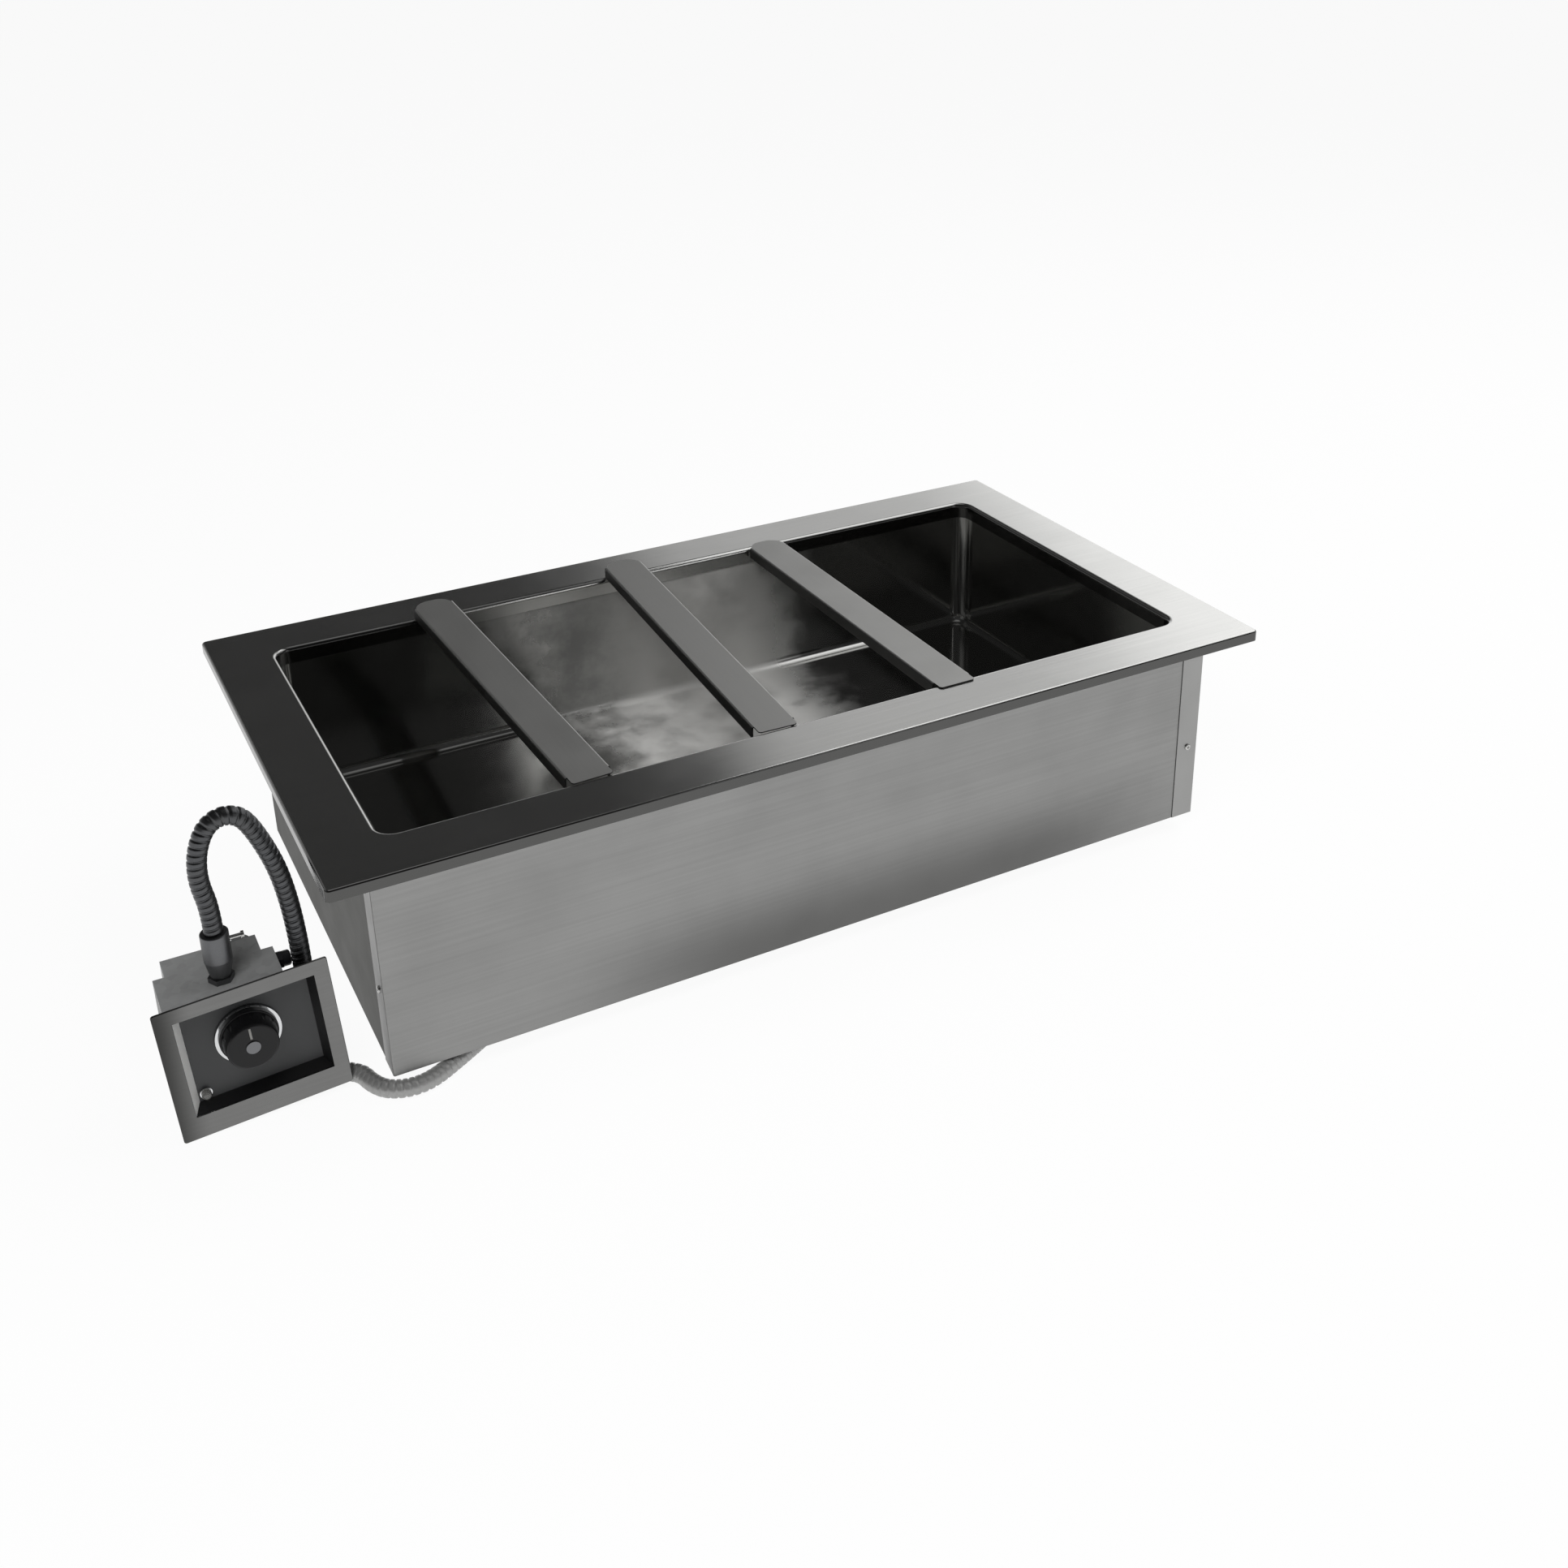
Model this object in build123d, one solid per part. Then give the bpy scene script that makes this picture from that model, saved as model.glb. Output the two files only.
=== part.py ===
from build123d import *
import math
import os

# Drop-in bain-marie: one stainless tank under a flat rim, three loose adapter bars across it,
# an insulated casing with heaters below the tank, and a remote control box on a flexible conduit.
# Millimetres. The origin is the centre of the counter cut-out, on the counter's top plane.
# +X runs to the right along the rim, +Y to the back, +Z up.

# Rim
rim_border = 76.0
rim_height = 14.0
rim_sheet = 1.5
rim_corner_radius = 6.0
rim_edge_radius = 3.0
rim_hem = 10.0
rim_roll_radius = 6.0
rim_roll_land = 6.0
rim_skirt = 22.0

# Tank
tank_length = 1048.0
tank_width = 504.0
tank_depth = 199.0
tank_corner_radius = 20.0
tank_sheet = 1.2
tank_cove_radius = 12.0
tank_lap = 13.0

# Casing
casing_end_space = 25.0
casing_side_space = 35.0
casing_height = 276.0
casing_sheet = 1.0
casing_bend_radius = 1.0
casing_lap = 34.0
casing_flange = 15.0
casing_gap = 0.3
seam_screw_height = 104.0
screw_shank_radius = 2.0
screw_head_radius = 4.2
screw_head_height = 2.2
screw_length = 9.0
screw_fit = 0.1
screw_well = 2.0
screw_recess_length = 4.6
screw_recess_width = 1.0
screw_recess_depth = 1.3
base_screw_pitch = 400.0

# Insulation and heat shield under and around the tank
base_insulation_height = 54.0
shield_sheet = 0.8
insulation_gap = 0.3
side_insulation_top = 10.0
wiring_pocket_length = 190.0
wiring_pocket_width = 130.0

# Heaters
element_count = 4
element_end_space = 4.0
element_radius = 4.25
element_width = 110.0
element_reach = 380.0
element_pin_radius = 1.6
element_pin_length = 22.0
seat_gap = 0.05
clamp_sheet = 1.5
clamp_width = 18.0
clamp_foot = 12.0
clamp_overhang = 10.0
clamp_offset = 110.0

# Thermostat bulb, capillary and high-limit cutout
bulb_radius = 4.75
bulb_length = 150.0
bulb_clip_sheet = 1.0
bulb_clip_width = 14.0
bulb_clip_foot = 9.0
bulb_clip_offset = 45.0
capillary_radius = 1.2
capillary_bend = 14.0
capillary_tail = 15.0
cutout_x = 130.0
cutout_y = 60.0
cutout_radius = 9.5
cutout_height = 11.0
cutout_ear_length = 34.0
cutout_ear_width = 10.0
cutout_ear_sheet = 1.2
cutout_tab_length = 6.0

# Terminal block
terminal_length = 62.0
terminal_width = 24.0
terminal_height = 20.0
terminal_poles = 5
terminal_slot = 4.0
terminal_offset_x = 62.0
terminal_offset_y = 28.0

# Drain
drain_y = -100.0
drain_shank_radius = 17.5
drain_outlet_radius = 16.7
drain_outlet_length = 22.0
drain_bore_radius = 13.0
drain_flange_radius = 30.0
drain_flange_height = 2.5
drain_recess_radius = 22.0
drain_screen_height = 1.2
drain_screen_fit = 0.2
drain_screen_hole = 2.0
drain_screen_rings = 3
drain_screen_spread = 1.3
drain_gasket_radius = 27.0
drain_gasket_height = 2.0
drain_nut_radius = 27.0
drain_nut_height = 12.0
drain_fit = 0.2
drain_clearance = 1.3
drain_well_radius = 33.0

# Adapter bars
bar_overlap = 11.0
bar_width = 54.0
bar_height = 15.0
bar_sheet = 1.5
bar_front_radius = 4.0
bar_back_radius = 20.0
bar_bend_radius = 2.5
bar_wall_clearance = 4.0
bar_rest_gap = 0.3
bar_left_x = -301.0
bar_left_skew = 2.6
bar_centre_x = -50.0
bar_centre_skew = -2.2
bar_right_x = 181.0
bar_right_skew = 0.0
bar_push = 8.0

# Control box: the bezel's front lower left corner from the casing's front left corner,
# its lean to one side, and the housing's turn on it
box_away_x = 214.0
box_in_y = 34.0
box_lean = -3.39
housing_turn = 3.4
stand_off = 24.0
plate_width = 178.0
plate_height = 165.0
plate_sheet = 2.0
plate_corner_radius = 3.0
window_left = 18.0
window_bottom = 27.0
window_width = 144.0
window_height = 121.0
recess_depth = 15.0
recess_slope = 7.0
pan_sheet = 1.2
pan_flange = 6.0
housing_left = 7.5
housing_right = 130.0
housing_margin = 7.0
housing_depth = 64.0
housing_sheet = 1.2
housing_return = 9.0
pan_clearance = 1.0
rear_left_inset = 12.0
rear_right_inset = 12.0
rear_low_inset = 12.0
rear_depth = 98.0
ear_centre = 102.0
ear_radius = 12.0
ear_rise = 5.0
ear_hole_radius = 2.75
ear_hole_drop = 8.0

# Knob, thermostat and pilot lamp on the recessed panel
knob_x = 87.0
knob_z = 97.0
knob_radius = 29.0
knob_face_radius = 26.5
knob_length = 24.5
knob_rim_radius = 30.5
knob_rim_height = 4.5
knob_edge_radius = 3.0
knob_flutes = 14
knob_flute_radius = 3.6
knob_flute_depth = 1.6
knob_ring_radius = 34.0
knob_ring_bore = 24.0
knob_ring_height = 1.8
knob_panel_gap = 1.7
knob_cap_radius = 7.5
knob_cap_height = 1.2
knob_pointer_length = 13.0
knob_pointer_width = 2.2
knob_pointer_height = 0.6
spindle_radius = 3.0
spindle_fit = 0.03
spindle_front_wall = 6.0
bush_radius = 4.8
bush_length = 4.0
bush_nut_radius = 8.0
bush_nut_height = 2.5
bush_hole_fit = 0.2
thermostat_size = 46.0
thermostat_length = 36.0
thermostat_cavity = 30.0
lamp_x = 33.0
lamp_z = 43.0
lamp_body_radius = 5.0
lamp_body_length = 30.0
lamp_flange_radius = 6.4
lamp_flange_height = 2.0
lamp_lens_radius = 5.2
lamp_lens_height = 7.5
lamp_lens_round = 4.0
plug_depth = 53.0
plug_drop = 11.0
plug_collar_radius = 10.0
plug_collar_height = 6.0
plug_radius = 8.5
plug_height = 15.0
plug_round = 3.0
plug_stem_radius = 7.5
plug_stem_length = 4.0
plug_fit = 0.15

# Conduit and its two connectors
conduit_radius = 10.0
conduit_groove = 1.1
conduit_bore = 7.6
rib_pitch = 7.5
rib_flank = 0.12
rib_crest = 0.58
conduit_lead = 30.0
connector_x = 71.4
connector_depth = 33.0
connector_height = 58.0
connector_collar_radius = 13.5
connector_collar_height = 6.0
connector_neck_radius = 10.5
connector_cone_height = 20.0
connector_body_radius = 14.5
connector_edge_radius = 1.5
connector_screw_height = 46.0
connector_screw_radius = 2.4
connector_screw_head = 4.0
connector_screw_length = 11.0
connector_screw_head_height = 3.0
nipple_radius = 10.0
nipple_length = 14.0
nipple_fit = 0.3
locknut_radius = 14.5
locknut_height = 4.5
locknut_fit = 0.1
elbow_barrel_radius = 11.5
elbow_barrel_length = 30.0
elbow_drop = 12.0
elbow_in_x = 124.0
elbow_in_y = 42.5
elbow_heading = 33.0

# Levels and seats that follow from the sizes above
rim_length = tank_length + 2 * rim_border
rim_width = tank_width + 2 * rim_border
casing_length = tank_length + 2 * casing_end_space
casing_width = tank_width + 2 * casing_side_space
corner_x = -casing_length / 2
corner_y = -casing_width / 2
element_pitch = (tank_length - 2 * element_end_space) / element_count
drain_x = element_pitch
bar_length = tank_width + 2 * bar_overlap
rim_under = rim_height - rim_sheet
skirt_bottom = rim_height - rim_skirt
liner_length = tank_length + 2 * rim_sheet
liner_width = tank_width + 2 * rim_sheet
liner_top = skirt_bottom + tank_lap
tank_floor = rim_height - tank_depth
tank_under = tank_floor - tank_sheet
casing_bottom = rim_height - casing_height
base_sheet_bottom = casing_bottom + casing_sheet
base_sheet_top = base_sheet_bottom + casing_sheet
shield_bottom = base_sheet_top + base_insulation_height
shield_top = shield_bottom + shield_sheet
ground = casing_bottom - stand_off
wall_inner_x = casing_length / 2 - 2 * casing_sheet
wall_inner_y = casing_width / 2 - 2 * casing_sheet
seam_screw_z = casing_bottom + seam_screw_height
screw_hole_radius = screw_shank_radius + screw_fit
base_screw_y = wall_inner_y - casing_flange / 2
element_z = tank_under - element_radius - seat_gap
bulb_z = tank_under - bulb_radius - seat_gap
elbow_z = casing_bottom - elbow_drop
elbow_direction = Vector(math.cos(math.radians(elbow_heading)), math.sin(math.radians(elbow_heading)), 0)
elbow_mouth = Vector(corner_x + elbow_in_x, corner_y + elbow_in_y, elbow_z)
elbow_hub = elbow_mouth + elbow_direction * elbow_barrel_length
panel_front = recess_depth
panel_back = recess_depth + pan_sheet
housing_top = plate_height - housing_margin
housing_bottom = housing_margin
rear_sheet_depth = housing_depth + housing_sheet
box_place = Location((corner_x - box_away_x, corner_y + box_in_y, ground), (0, box_lean, 0))
bezel_centre = Pos(plate_width / 2, 0, plate_height / 2)
housing_shift = bezel_centre * Rot(0, housing_turn, 0) * bezel_centre.inverse()
housing_place = box_place * housing_shift


# Shapes used by many pieces
def block(x0, x1, y0, y1, z0, z1):
    centre = Pos((x0 + x1) / 2, (y0 + y1) / 2, (z0 + z1) / 2)
    return centre * Box(x1 - x0, y1 - y0, z1 - z0)


def rounded_prism(length, width, radius, z0, z1):
    return Pos(0, 0, z0) * extrude(RectangleRounded(length, width, radius), amount=z1 - z0)


def rod_x(y, z, radius, x0, x1):
    return Pos((x0 + x1) / 2, y, z) * Rot(0, 90, 0) * Cylinder(radius, x1 - x0)


def rod_y(x, z, radius, y0, y1):
    return Pos(x, (y0 + y1) / 2, z) * Rot(90, 0, 0) * Cylinder(radius, y1 - y0)


def rod_z(x, y, radius, z0, z1):
    return Pos(x, y, (z0 + z1) / 2) * Cylinder(radius, z1 - z0)


def hexagon_z(x, y, radius, z0, z1):
    return Pos(x, y, z0) * extrude(RegularPolygon(radius, 6), amount=z1 - z0)


def edges_at_height(shape, z, half_length, half_width):
    """Edges lying flat at height z inside a rectangle of the given half sizes."""
    slack = 0.01
    found = []
    for edge in shape.edges():
        box = edge.bounding_box()
        flat = abs(box.min.Z - z) < slack and abs(box.max.Z - z) < slack
        inside = max(abs(box.min.X), abs(box.max.X)) < half_length + slack
        inside = inside and max(abs(box.min.Y), abs(box.max.Y)) < half_width + slack
        if flat and inside:
            found.append(edge)
    return found


# Rim: a flat frame with a hemmed lip outside and a rolled edge and skirt inside
def make_rim():
    past = 1.0
    top = rounded_prism(rim_length, rim_width, rim_corner_radius, 0, rim_height)
    top = fillet(top.edges().group_by(Axis.Z)[-1], rim_edge_radius)
    inner_length = rim_length - 2 * rim_sheet
    inner_width = rim_width - 2 * rim_sheet
    inner_radius = rim_corner_radius - rim_sheet
    hollow = rounded_prism(inner_length, inner_width, inner_radius, rim_sheet, rim_under)
    hollow = fillet(hollow.edges().group_by(Axis.Z)[-1], rim_edge_radius - rim_sheet)
    hem_mouth = block(
        -inner_length / 2 + rim_hem, inner_length / 2 - rim_hem,
        -inner_width / 2 + rim_hem, inner_width / 2 - rim_hem, -past, 2 * rim_sheet,
    )
    roll_length = tank_length + 2 * rim_roll_radius
    roll_width = tank_width + 2 * rim_roll_radius
    roll_corner = tank_corner_radius + rim_roll_radius
    mouth = rounded_prism(roll_length, roll_width, roll_corner, -past, rim_height + past)
    sheet = top - hollow - hem_mouth - mouth

    land_length = roll_length + 2 * rim_roll_land
    land_width = roll_width + 2 * rim_roll_land
    land_corner = roll_corner + rim_roll_land
    collar = rounded_prism(land_length, land_width, land_corner, skirt_bottom, rim_height)
    well = rounded_prism(tank_length, tank_width, tank_corner_radius, skirt_bottom - past, rim_height + past)
    collar = collar - well
    collar = fillet(edges_at_height(collar, rim_height, tank_length / 2, tank_width / 2), rim_roll_radius)
    back_length = tank_length + 2 * rim_sheet
    back_width = tank_width + 2 * rim_sheet
    back_corner = tank_corner_radius + rim_sheet
    relief = rounded_prism(
        land_length + 2 * past, land_width + 2 * past, land_corner + past, skirt_bottom - past, rim_under
    )
    relief = relief - rounded_prism(
        back_length, back_width, back_corner, skirt_bottom - 2 * past, rim_under + past
    )
    relief = fillet(
        edges_at_height(relief, rim_under, back_length / 2, back_width / 2), rim_roll_radius - rim_sheet
    )
    return sheet + (collar - relief)


# Tank: a coved box whose upper edge laps behind the rim's skirt
def make_liner():
    past = 1.0
    outer = rounded_prism(
        liner_length + 2 * tank_sheet, liner_width + 2 * tank_sheet,
        tank_corner_radius + tank_sheet, tank_under, liner_top,
    )
    outer = fillet(outer.edges().group_by(Axis.Z)[0], tank_cove_radius + tank_sheet)
    inner = rounded_prism(liner_length, liner_width, tank_corner_radius, tank_floor, liner_top + past)
    inner = fillet(inner.edges().group_by(Axis.Z)[0], tank_cove_radius)
    drain_hole = rod_z(drain_x, drain_y, drain_shank_radius + drain_fit, tank_under - past, tank_floor + past)
    return outer - inner - drain_hole


# Casing: four panels, each lapping round one corner onto the next, and a base sheet
def panel_along_front(half_length, half_depth, trim, base_screws):
    past = 1.0
    face_y = -half_depth + casing_sheet
    back_y = face_y + casing_sheet
    left = -half_length
    right = half_length - 2 * casing_sheet - casing_bend_radius
    lap_y = -half_depth + casing_lap
    outline = Polyline(
        (left, face_y), (right, face_y), (right, back_y), (left + casing_sheet, back_y),
        (left + casing_sheet, lap_y), (left, lap_y), close=True,
    )
    profile = make_face(outline)
    outer_corner = profile.vertices().sort_by_distance((left, face_y, 0))[0]
    profile = fillet(outer_corner, casing_bend_radius + casing_sheet)
    inner_corner = profile.vertices().sort_by_distance((left + casing_sheet, back_y, 0))[0]
    profile = fillet(inner_corner, casing_bend_radius)
    wall = Pos(0, 0, casing_bottom) * extrude(profile, amount=rim_under - casing_bottom)
    flange_left = left + casing_sheet + casing_bend_radius + trim
    flange_right = right - trim
    flange_back = back_y + casing_flange
    top_flange = block(flange_left, flange_right, back_y, flange_back, rim_under - casing_sheet, rim_under)
    base_flange = block(flange_left, flange_right, back_y, flange_back, casing_bottom, base_sheet_bottom)
    lap_hole = rod_x(
        -half_depth + casing_lap / 2, seam_screw_z, screw_hole_radius, left - past, left + 2 * past
    )
    face_hole = rod_y(
        half_length - casing_lap / 2, seam_screw_z, screw_hole_radius, face_y - past, back_y + past
    )
    panel = wall + top_flange + base_flange - lap_hole - face_hole
    for step in base_screws:
        panel = panel - rod_z(
            step * base_screw_pitch, -base_screw_y, screw_hole_radius, casing_bottom - past, base_sheet_top
        )
    return panel


base_screw_steps = (-1, 0, 1)
end_trim = casing_flange + casing_sheet + casing_gap


def make_long_panel():
    return panel_along_front(casing_length / 2, casing_width / 2, 0.0, base_screw_steps)


def make_end_panel():
    return panel_along_front(casing_width / 2, casing_length / 2, end_trim, ())


def make_base_sheet():
    past = 1.0
    sheet = block(
        -wall_inner_x + casing_gap, wall_inner_x - casing_gap,
        -wall_inner_y + casing_gap, wall_inner_y - casing_gap, base_sheet_bottom, base_sheet_top,
    )
    sheet = sheet - rod_z(
        drain_x, drain_y, drain_shank_radius + drain_clearance, casing_bottom, base_sheet_top + past
    )
    sheet = sheet - rod_z(
        elbow_hub.X, elbow_hub.Y, nipple_radius + nipple_fit, casing_bottom, base_sheet_top + past
    )
    for side in (-1, 1):
        for step in base_screw_steps:
            sheet = sheet - rod_z(
                step * base_screw_pitch, side * base_screw_y, screw_hole_radius,
                casing_bottom, base_sheet_top + past,
            )
    return sheet


def pan_screw():
    """A pan-head screw along +X, its head's underside at x = 0, with a cross recess."""
    past = 1.0
    head = rod_x(0, 0, screw_head_radius, -screw_head_height, 0)
    head = fillet(head.edges().group_by(Axis.X)[0], screw_head_height / 2)
    slot = block(
        -screw_head_height - past, -screw_head_height + screw_recess_depth,
        -screw_recess_length / 2, screw_recess_length / 2, -screw_recess_width / 2, screw_recess_width / 2,
    )
    return head + rod_x(0, 0, screw_shank_radius, 0, screw_length) - slot - Rot(90, 0, 0) * slot


def seam_screw(half_length, half_depth):
    return Pos(-half_length, -half_depth + casing_lap / 2, seam_screw_z) * pan_screw()


def round_the_casing(long_side, end_side):
    return [long_side, Rot(0, 0, 90) * end_side, Rot(0, 0, 180) * long_side, Rot(0, 0, 270) * end_side]


def make_seam_screws():
    long_side = seam_screw(casing_length / 2, casing_width / 2)
    end_side = seam_screw(casing_width / 2, casing_length / 2)
    return round_the_casing(long_side, end_side)


def seam_places(radius, reach):
    """Rods of the given radius and reach on the lines of the seam screws."""
    near_y = -casing_width / 2 + casing_lap / 2
    long_side = rod_x(near_y, seam_screw_z, radius, -casing_length / 2, -casing_length / 2 + reach)
    near_x = -casing_length / 2 + casing_lap / 2
    end_side = rod_x(near_x, seam_screw_z, radius, -casing_width / 2, -casing_width / 2 + reach)
    return round_the_casing(long_side, end_side)


def make_base_screws():
    screws = []
    for side in (-1, 1):
        for step in base_screw_steps:
            place = Pos(step * base_screw_pitch, side * base_screw_y, casing_bottom)
            screws.append(place * Rot(0, -90, 0) * pan_screw())
    return screws


# Insulation and the bright sheet over the base slab
def base_cutouts(z0, z1):
    pocket_x = elbow_hub.X + wiring_pocket_length / 4
    pocket = block(
        pocket_x - wiring_pocket_length / 2, pocket_x + wiring_pocket_length / 2,
        elbow_hub.Y - wiring_pocket_width / 3, elbow_hub.Y + wiring_pocket_width * 2 / 3, z0, z1,
    )
    tools = [pocket, rod_z(drain_x, drain_y, drain_well_radius, z0, z1)]
    well_radius = screw_shank_radius + screw_well
    for side in (-1, 1):
        for step in base_screw_steps:
            tools.append(rod_z(step * base_screw_pitch, side * base_screw_y, well_radius, z0, z1))
    return tools


def slab_over_base(z0, z1):
    slab = block(
        -wall_inner_x + insulation_gap, wall_inner_x - insulation_gap,
        -wall_inner_y + insulation_gap, wall_inner_y - insulation_gap, z0, z1,
    )
    for tool in base_cutouts(z0 - 1, z1 + 1):
        slab = slab - tool
    return slab


def make_base_insulation():
    return slab_over_base(base_sheet_top, shield_bottom)


def make_heat_shield():
    return slab_over_base(shield_bottom, shield_top)


def make_side_insulation():
    tank_x = liner_length / 2 + tank_sheet + insulation_gap
    tank_y = liner_width / 2 + tank_sheet + insulation_gap
    wall_x = wall_inner_x - insulation_gap
    wall_y = wall_inner_y - insulation_gap
    top = rim_under - side_insulation_top - casing_sheet
    slabs = []
    for side in (-1, 1):
        near, far = sorted((side * tank_y, side * wall_y))
        slabs.append(block(-wall_x, wall_x, near, far, shield_top, top))
        near, far = sorted((side * tank_x, side * wall_x))
        slabs.append(block(near, far, -tank_y + insulation_gap, tank_y - insulation_gap, shield_top, top))
    wells = seam_places(screw_shank_radius + screw_well, screw_length + screw_well)
    return [slab - wells for slab in slabs]


# Heaters: one hairpin tube under each quarter of the tank, held up by straps
def element_positions():
    first = -(element_count - 1) / 2
    return [(first + i) * element_pitch for i in range(element_count)]


def make_element(x):
    half_width = element_width / 2
    half_reach = element_reach / 2
    bend = half_width - seat_gap
    path = FilletPolyline(
        (x - half_width, -half_reach, element_z), (x - half_width, half_reach, element_z),
        (x + half_width, half_reach, element_z), (x + half_width, -half_reach, element_z), radius=bend,
    )
    tube = sweep(Plane(origin=path @ 0, z_dir=path % 0) * Circle(element_radius), path=path)
    for side in (-1, 1):
        tube = tube + rod_y(
            x + side * half_width, element_z, element_pin_radius,
            -half_reach - element_pin_length, -half_reach,
        )
    return tube


def clamp_profile(span, drop, sheet, foot):
    """A hat strap seen end on: feet at z = 0, its bridge hanging drop below them."""
    half = span / 2
    return make_face(Polyline(
        (-half - foot, 0), (-half, 0), (-half, -drop), (half, -drop), (half, 0), (half + foot, 0),
        (half + foot, -sheet), (half + sheet, -sheet), (half + sheet, -drop - sheet),
        (-half - sheet, -drop - sheet), (-half - sheet, -sheet), (-half - foot, -sheet), close=True,
    ))


def strap(x, y, span, drop, sheet, foot, width):
    profile = Plane.XZ * clamp_profile(span, drop, sheet, foot)
    return Pos(x, y + width / 2, tank_under) * extrude(profile, amount=width)


def make_clamps():
    span = element_width + 2 * element_radius + 2 * clamp_overhang
    drop = 2 * element_radius + 2 * seat_gap
    straps = []
    for x in element_positions():
        for side in (-1, 1):
            straps.append(strap(x, side * clamp_offset, span, drop, clamp_sheet, clamp_foot, clamp_width))
    return straps


# Thermostat bulb under the middle of the tank, its clips and its capillary
def make_bulb():
    bulb = rod_y(0, bulb_z, bulb_radius, -bulb_length / 2, bulb_length / 2)
    return fillet(bulb.edges(), bulb_radius / 2)


def make_bulb_clips():
    span = 2 * (bulb_radius + seat_gap)
    drop = 2 * bulb_radius + 2 * seat_gap
    clips = []
    for side in (-1, 1):
        y = side * bulb_clip_offset
        clips.append(strap(0, y, span, drop, bulb_clip_sheet, bulb_clip_foot, bulb_clip_width))
    return clips


def make_capillary():
    start = -bulb_length / 2
    tail_z = base_sheet_top + nipple_length - capillary_tail
    path = FilletPolyline(
        (0, start, bulb_z), (0, elbow_hub.Y, bulb_z), (elbow_hub.X, elbow_hub.Y, bulb_z),
        (elbow_hub.X, elbow_hub.Y, tail_z), radius=capillary_bend,
    )
    return sweep(Plane(origin=path @ 0, z_dir=path % 0) * Circle(capillary_radius), path=path)


def make_cutout():
    top = tank_under
    body = rod_z(cutout_x, cutout_y, cutout_radius, top - cutout_height, top)
    ear = block(
        cutout_x - cutout_ear_length / 2, cutout_x + cutout_ear_length / 2,
        cutout_y - cutout_ear_width / 2, cutout_y + cutout_ear_width / 2, top - cutout_ear_sheet, top,
    )
    tabs = []
    for side in (-1, 1):
        tab_y = cutout_y + side * cutout_radius / 2
        tabs.append(block(
            cutout_x - cutout_radius / 4, cutout_x + cutout_radius / 4, tab_y - cutout_ear_sheet / 2,
            tab_y + cutout_ear_sheet / 2, top - cutout_height - cutout_tab_length, top - cutout_height,
        ))
    return body + ear + tabs[0] + tabs[1]


# Terminal block in the wiring pocket
def make_terminal_block():
    x = elbow_hub.X + terminal_offset_x
    y = elbow_hub.Y + terminal_offset_y
    top = base_sheet_top + terminal_height
    body = block(
        x - terminal_length / 2, x + terminal_length / 2, y - terminal_width / 2, y + terminal_width / 2,
        base_sheet_top, top,
    )
    step = terminal_length / terminal_poles
    for i in range(terminal_poles):
        slot_x = x - terminal_length / 2 + step * (i + 0.5)
        for side in (-1, 1):
            body = body - block(
                slot_x - step / 3, slot_x + step / 3, y + side * terminal_width / 4 - terminal_slot,
                y + side * terminal_width / 4 + terminal_slot, top - terminal_slot, top + 1,
            )
    return body


# Drain near the middle front of the tank floor
def make_drain():
    past = 1.0
    flange = rod_z(drain_x, drain_y, drain_flange_radius, tank_floor, tank_floor + drain_flange_height)
    flange = fillet(flange.edges().group_by(Axis.Z)[-1], drain_flange_height / 2)
    shank = rod_z(drain_x, drain_y, drain_shank_radius, ground + drain_outlet_length, tank_floor)
    outlet = rod_z(drain_x, drain_y, drain_outlet_radius, ground, ground + drain_outlet_length)
    bore = rod_z(drain_x, drain_y, drain_bore_radius, ground - past, tank_floor + 2 * drain_flange_height)
    seat = rod_z(
        drain_x, drain_y, drain_recess_radius, tank_floor + drain_flange_height - drain_screen_height,
        tank_floor + 2 * drain_flange_height,
    )
    return flange + shank + outlet - bore - seat


def make_drain_screen():
    top = tank_floor + drain_flange_height
    bottom = top - drain_screen_height
    screen = rod_z(drain_x, drain_y, drain_recess_radius - drain_screen_fit, bottom, top)
    step = drain_screen_spread * (drain_bore_radius - drain_screen_hole) / drain_screen_rings
    holes = [rod_z(drain_x, drain_y, drain_screen_hole, bottom - 1, top + 1)]
    for ring in range(1, drain_screen_rings + 1):
        for i in range(6 * ring):
            turn = math.radians(60 / ring * i)
            x = drain_x + ring * step * math.cos(turn)
            y = drain_y + ring * step * math.sin(turn)
            holes.append(rod_z(x, y, drain_screen_hole, bottom - 1, top + 1))
    return screen - holes


def make_drain_gasket():
    top = tank_under
    bore_radius = drain_shank_radius + drain_fit
    ring = rod_z(drain_x, drain_y, drain_gasket_radius, top - drain_gasket_height, top)
    return ring - rod_z(drain_x, drain_y, bore_radius, top - 2 * drain_gasket_height, top + 1)


def make_drain_nut():
    top = tank_under - drain_gasket_height
    nut = hexagon_z(drain_x, drain_y, drain_nut_radius, top - drain_nut_height, top)
    return nut - rod_z(drain_x, drain_y, drain_shank_radius + drain_fit, top - 2 * drain_nut_height, top + 1)


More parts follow.
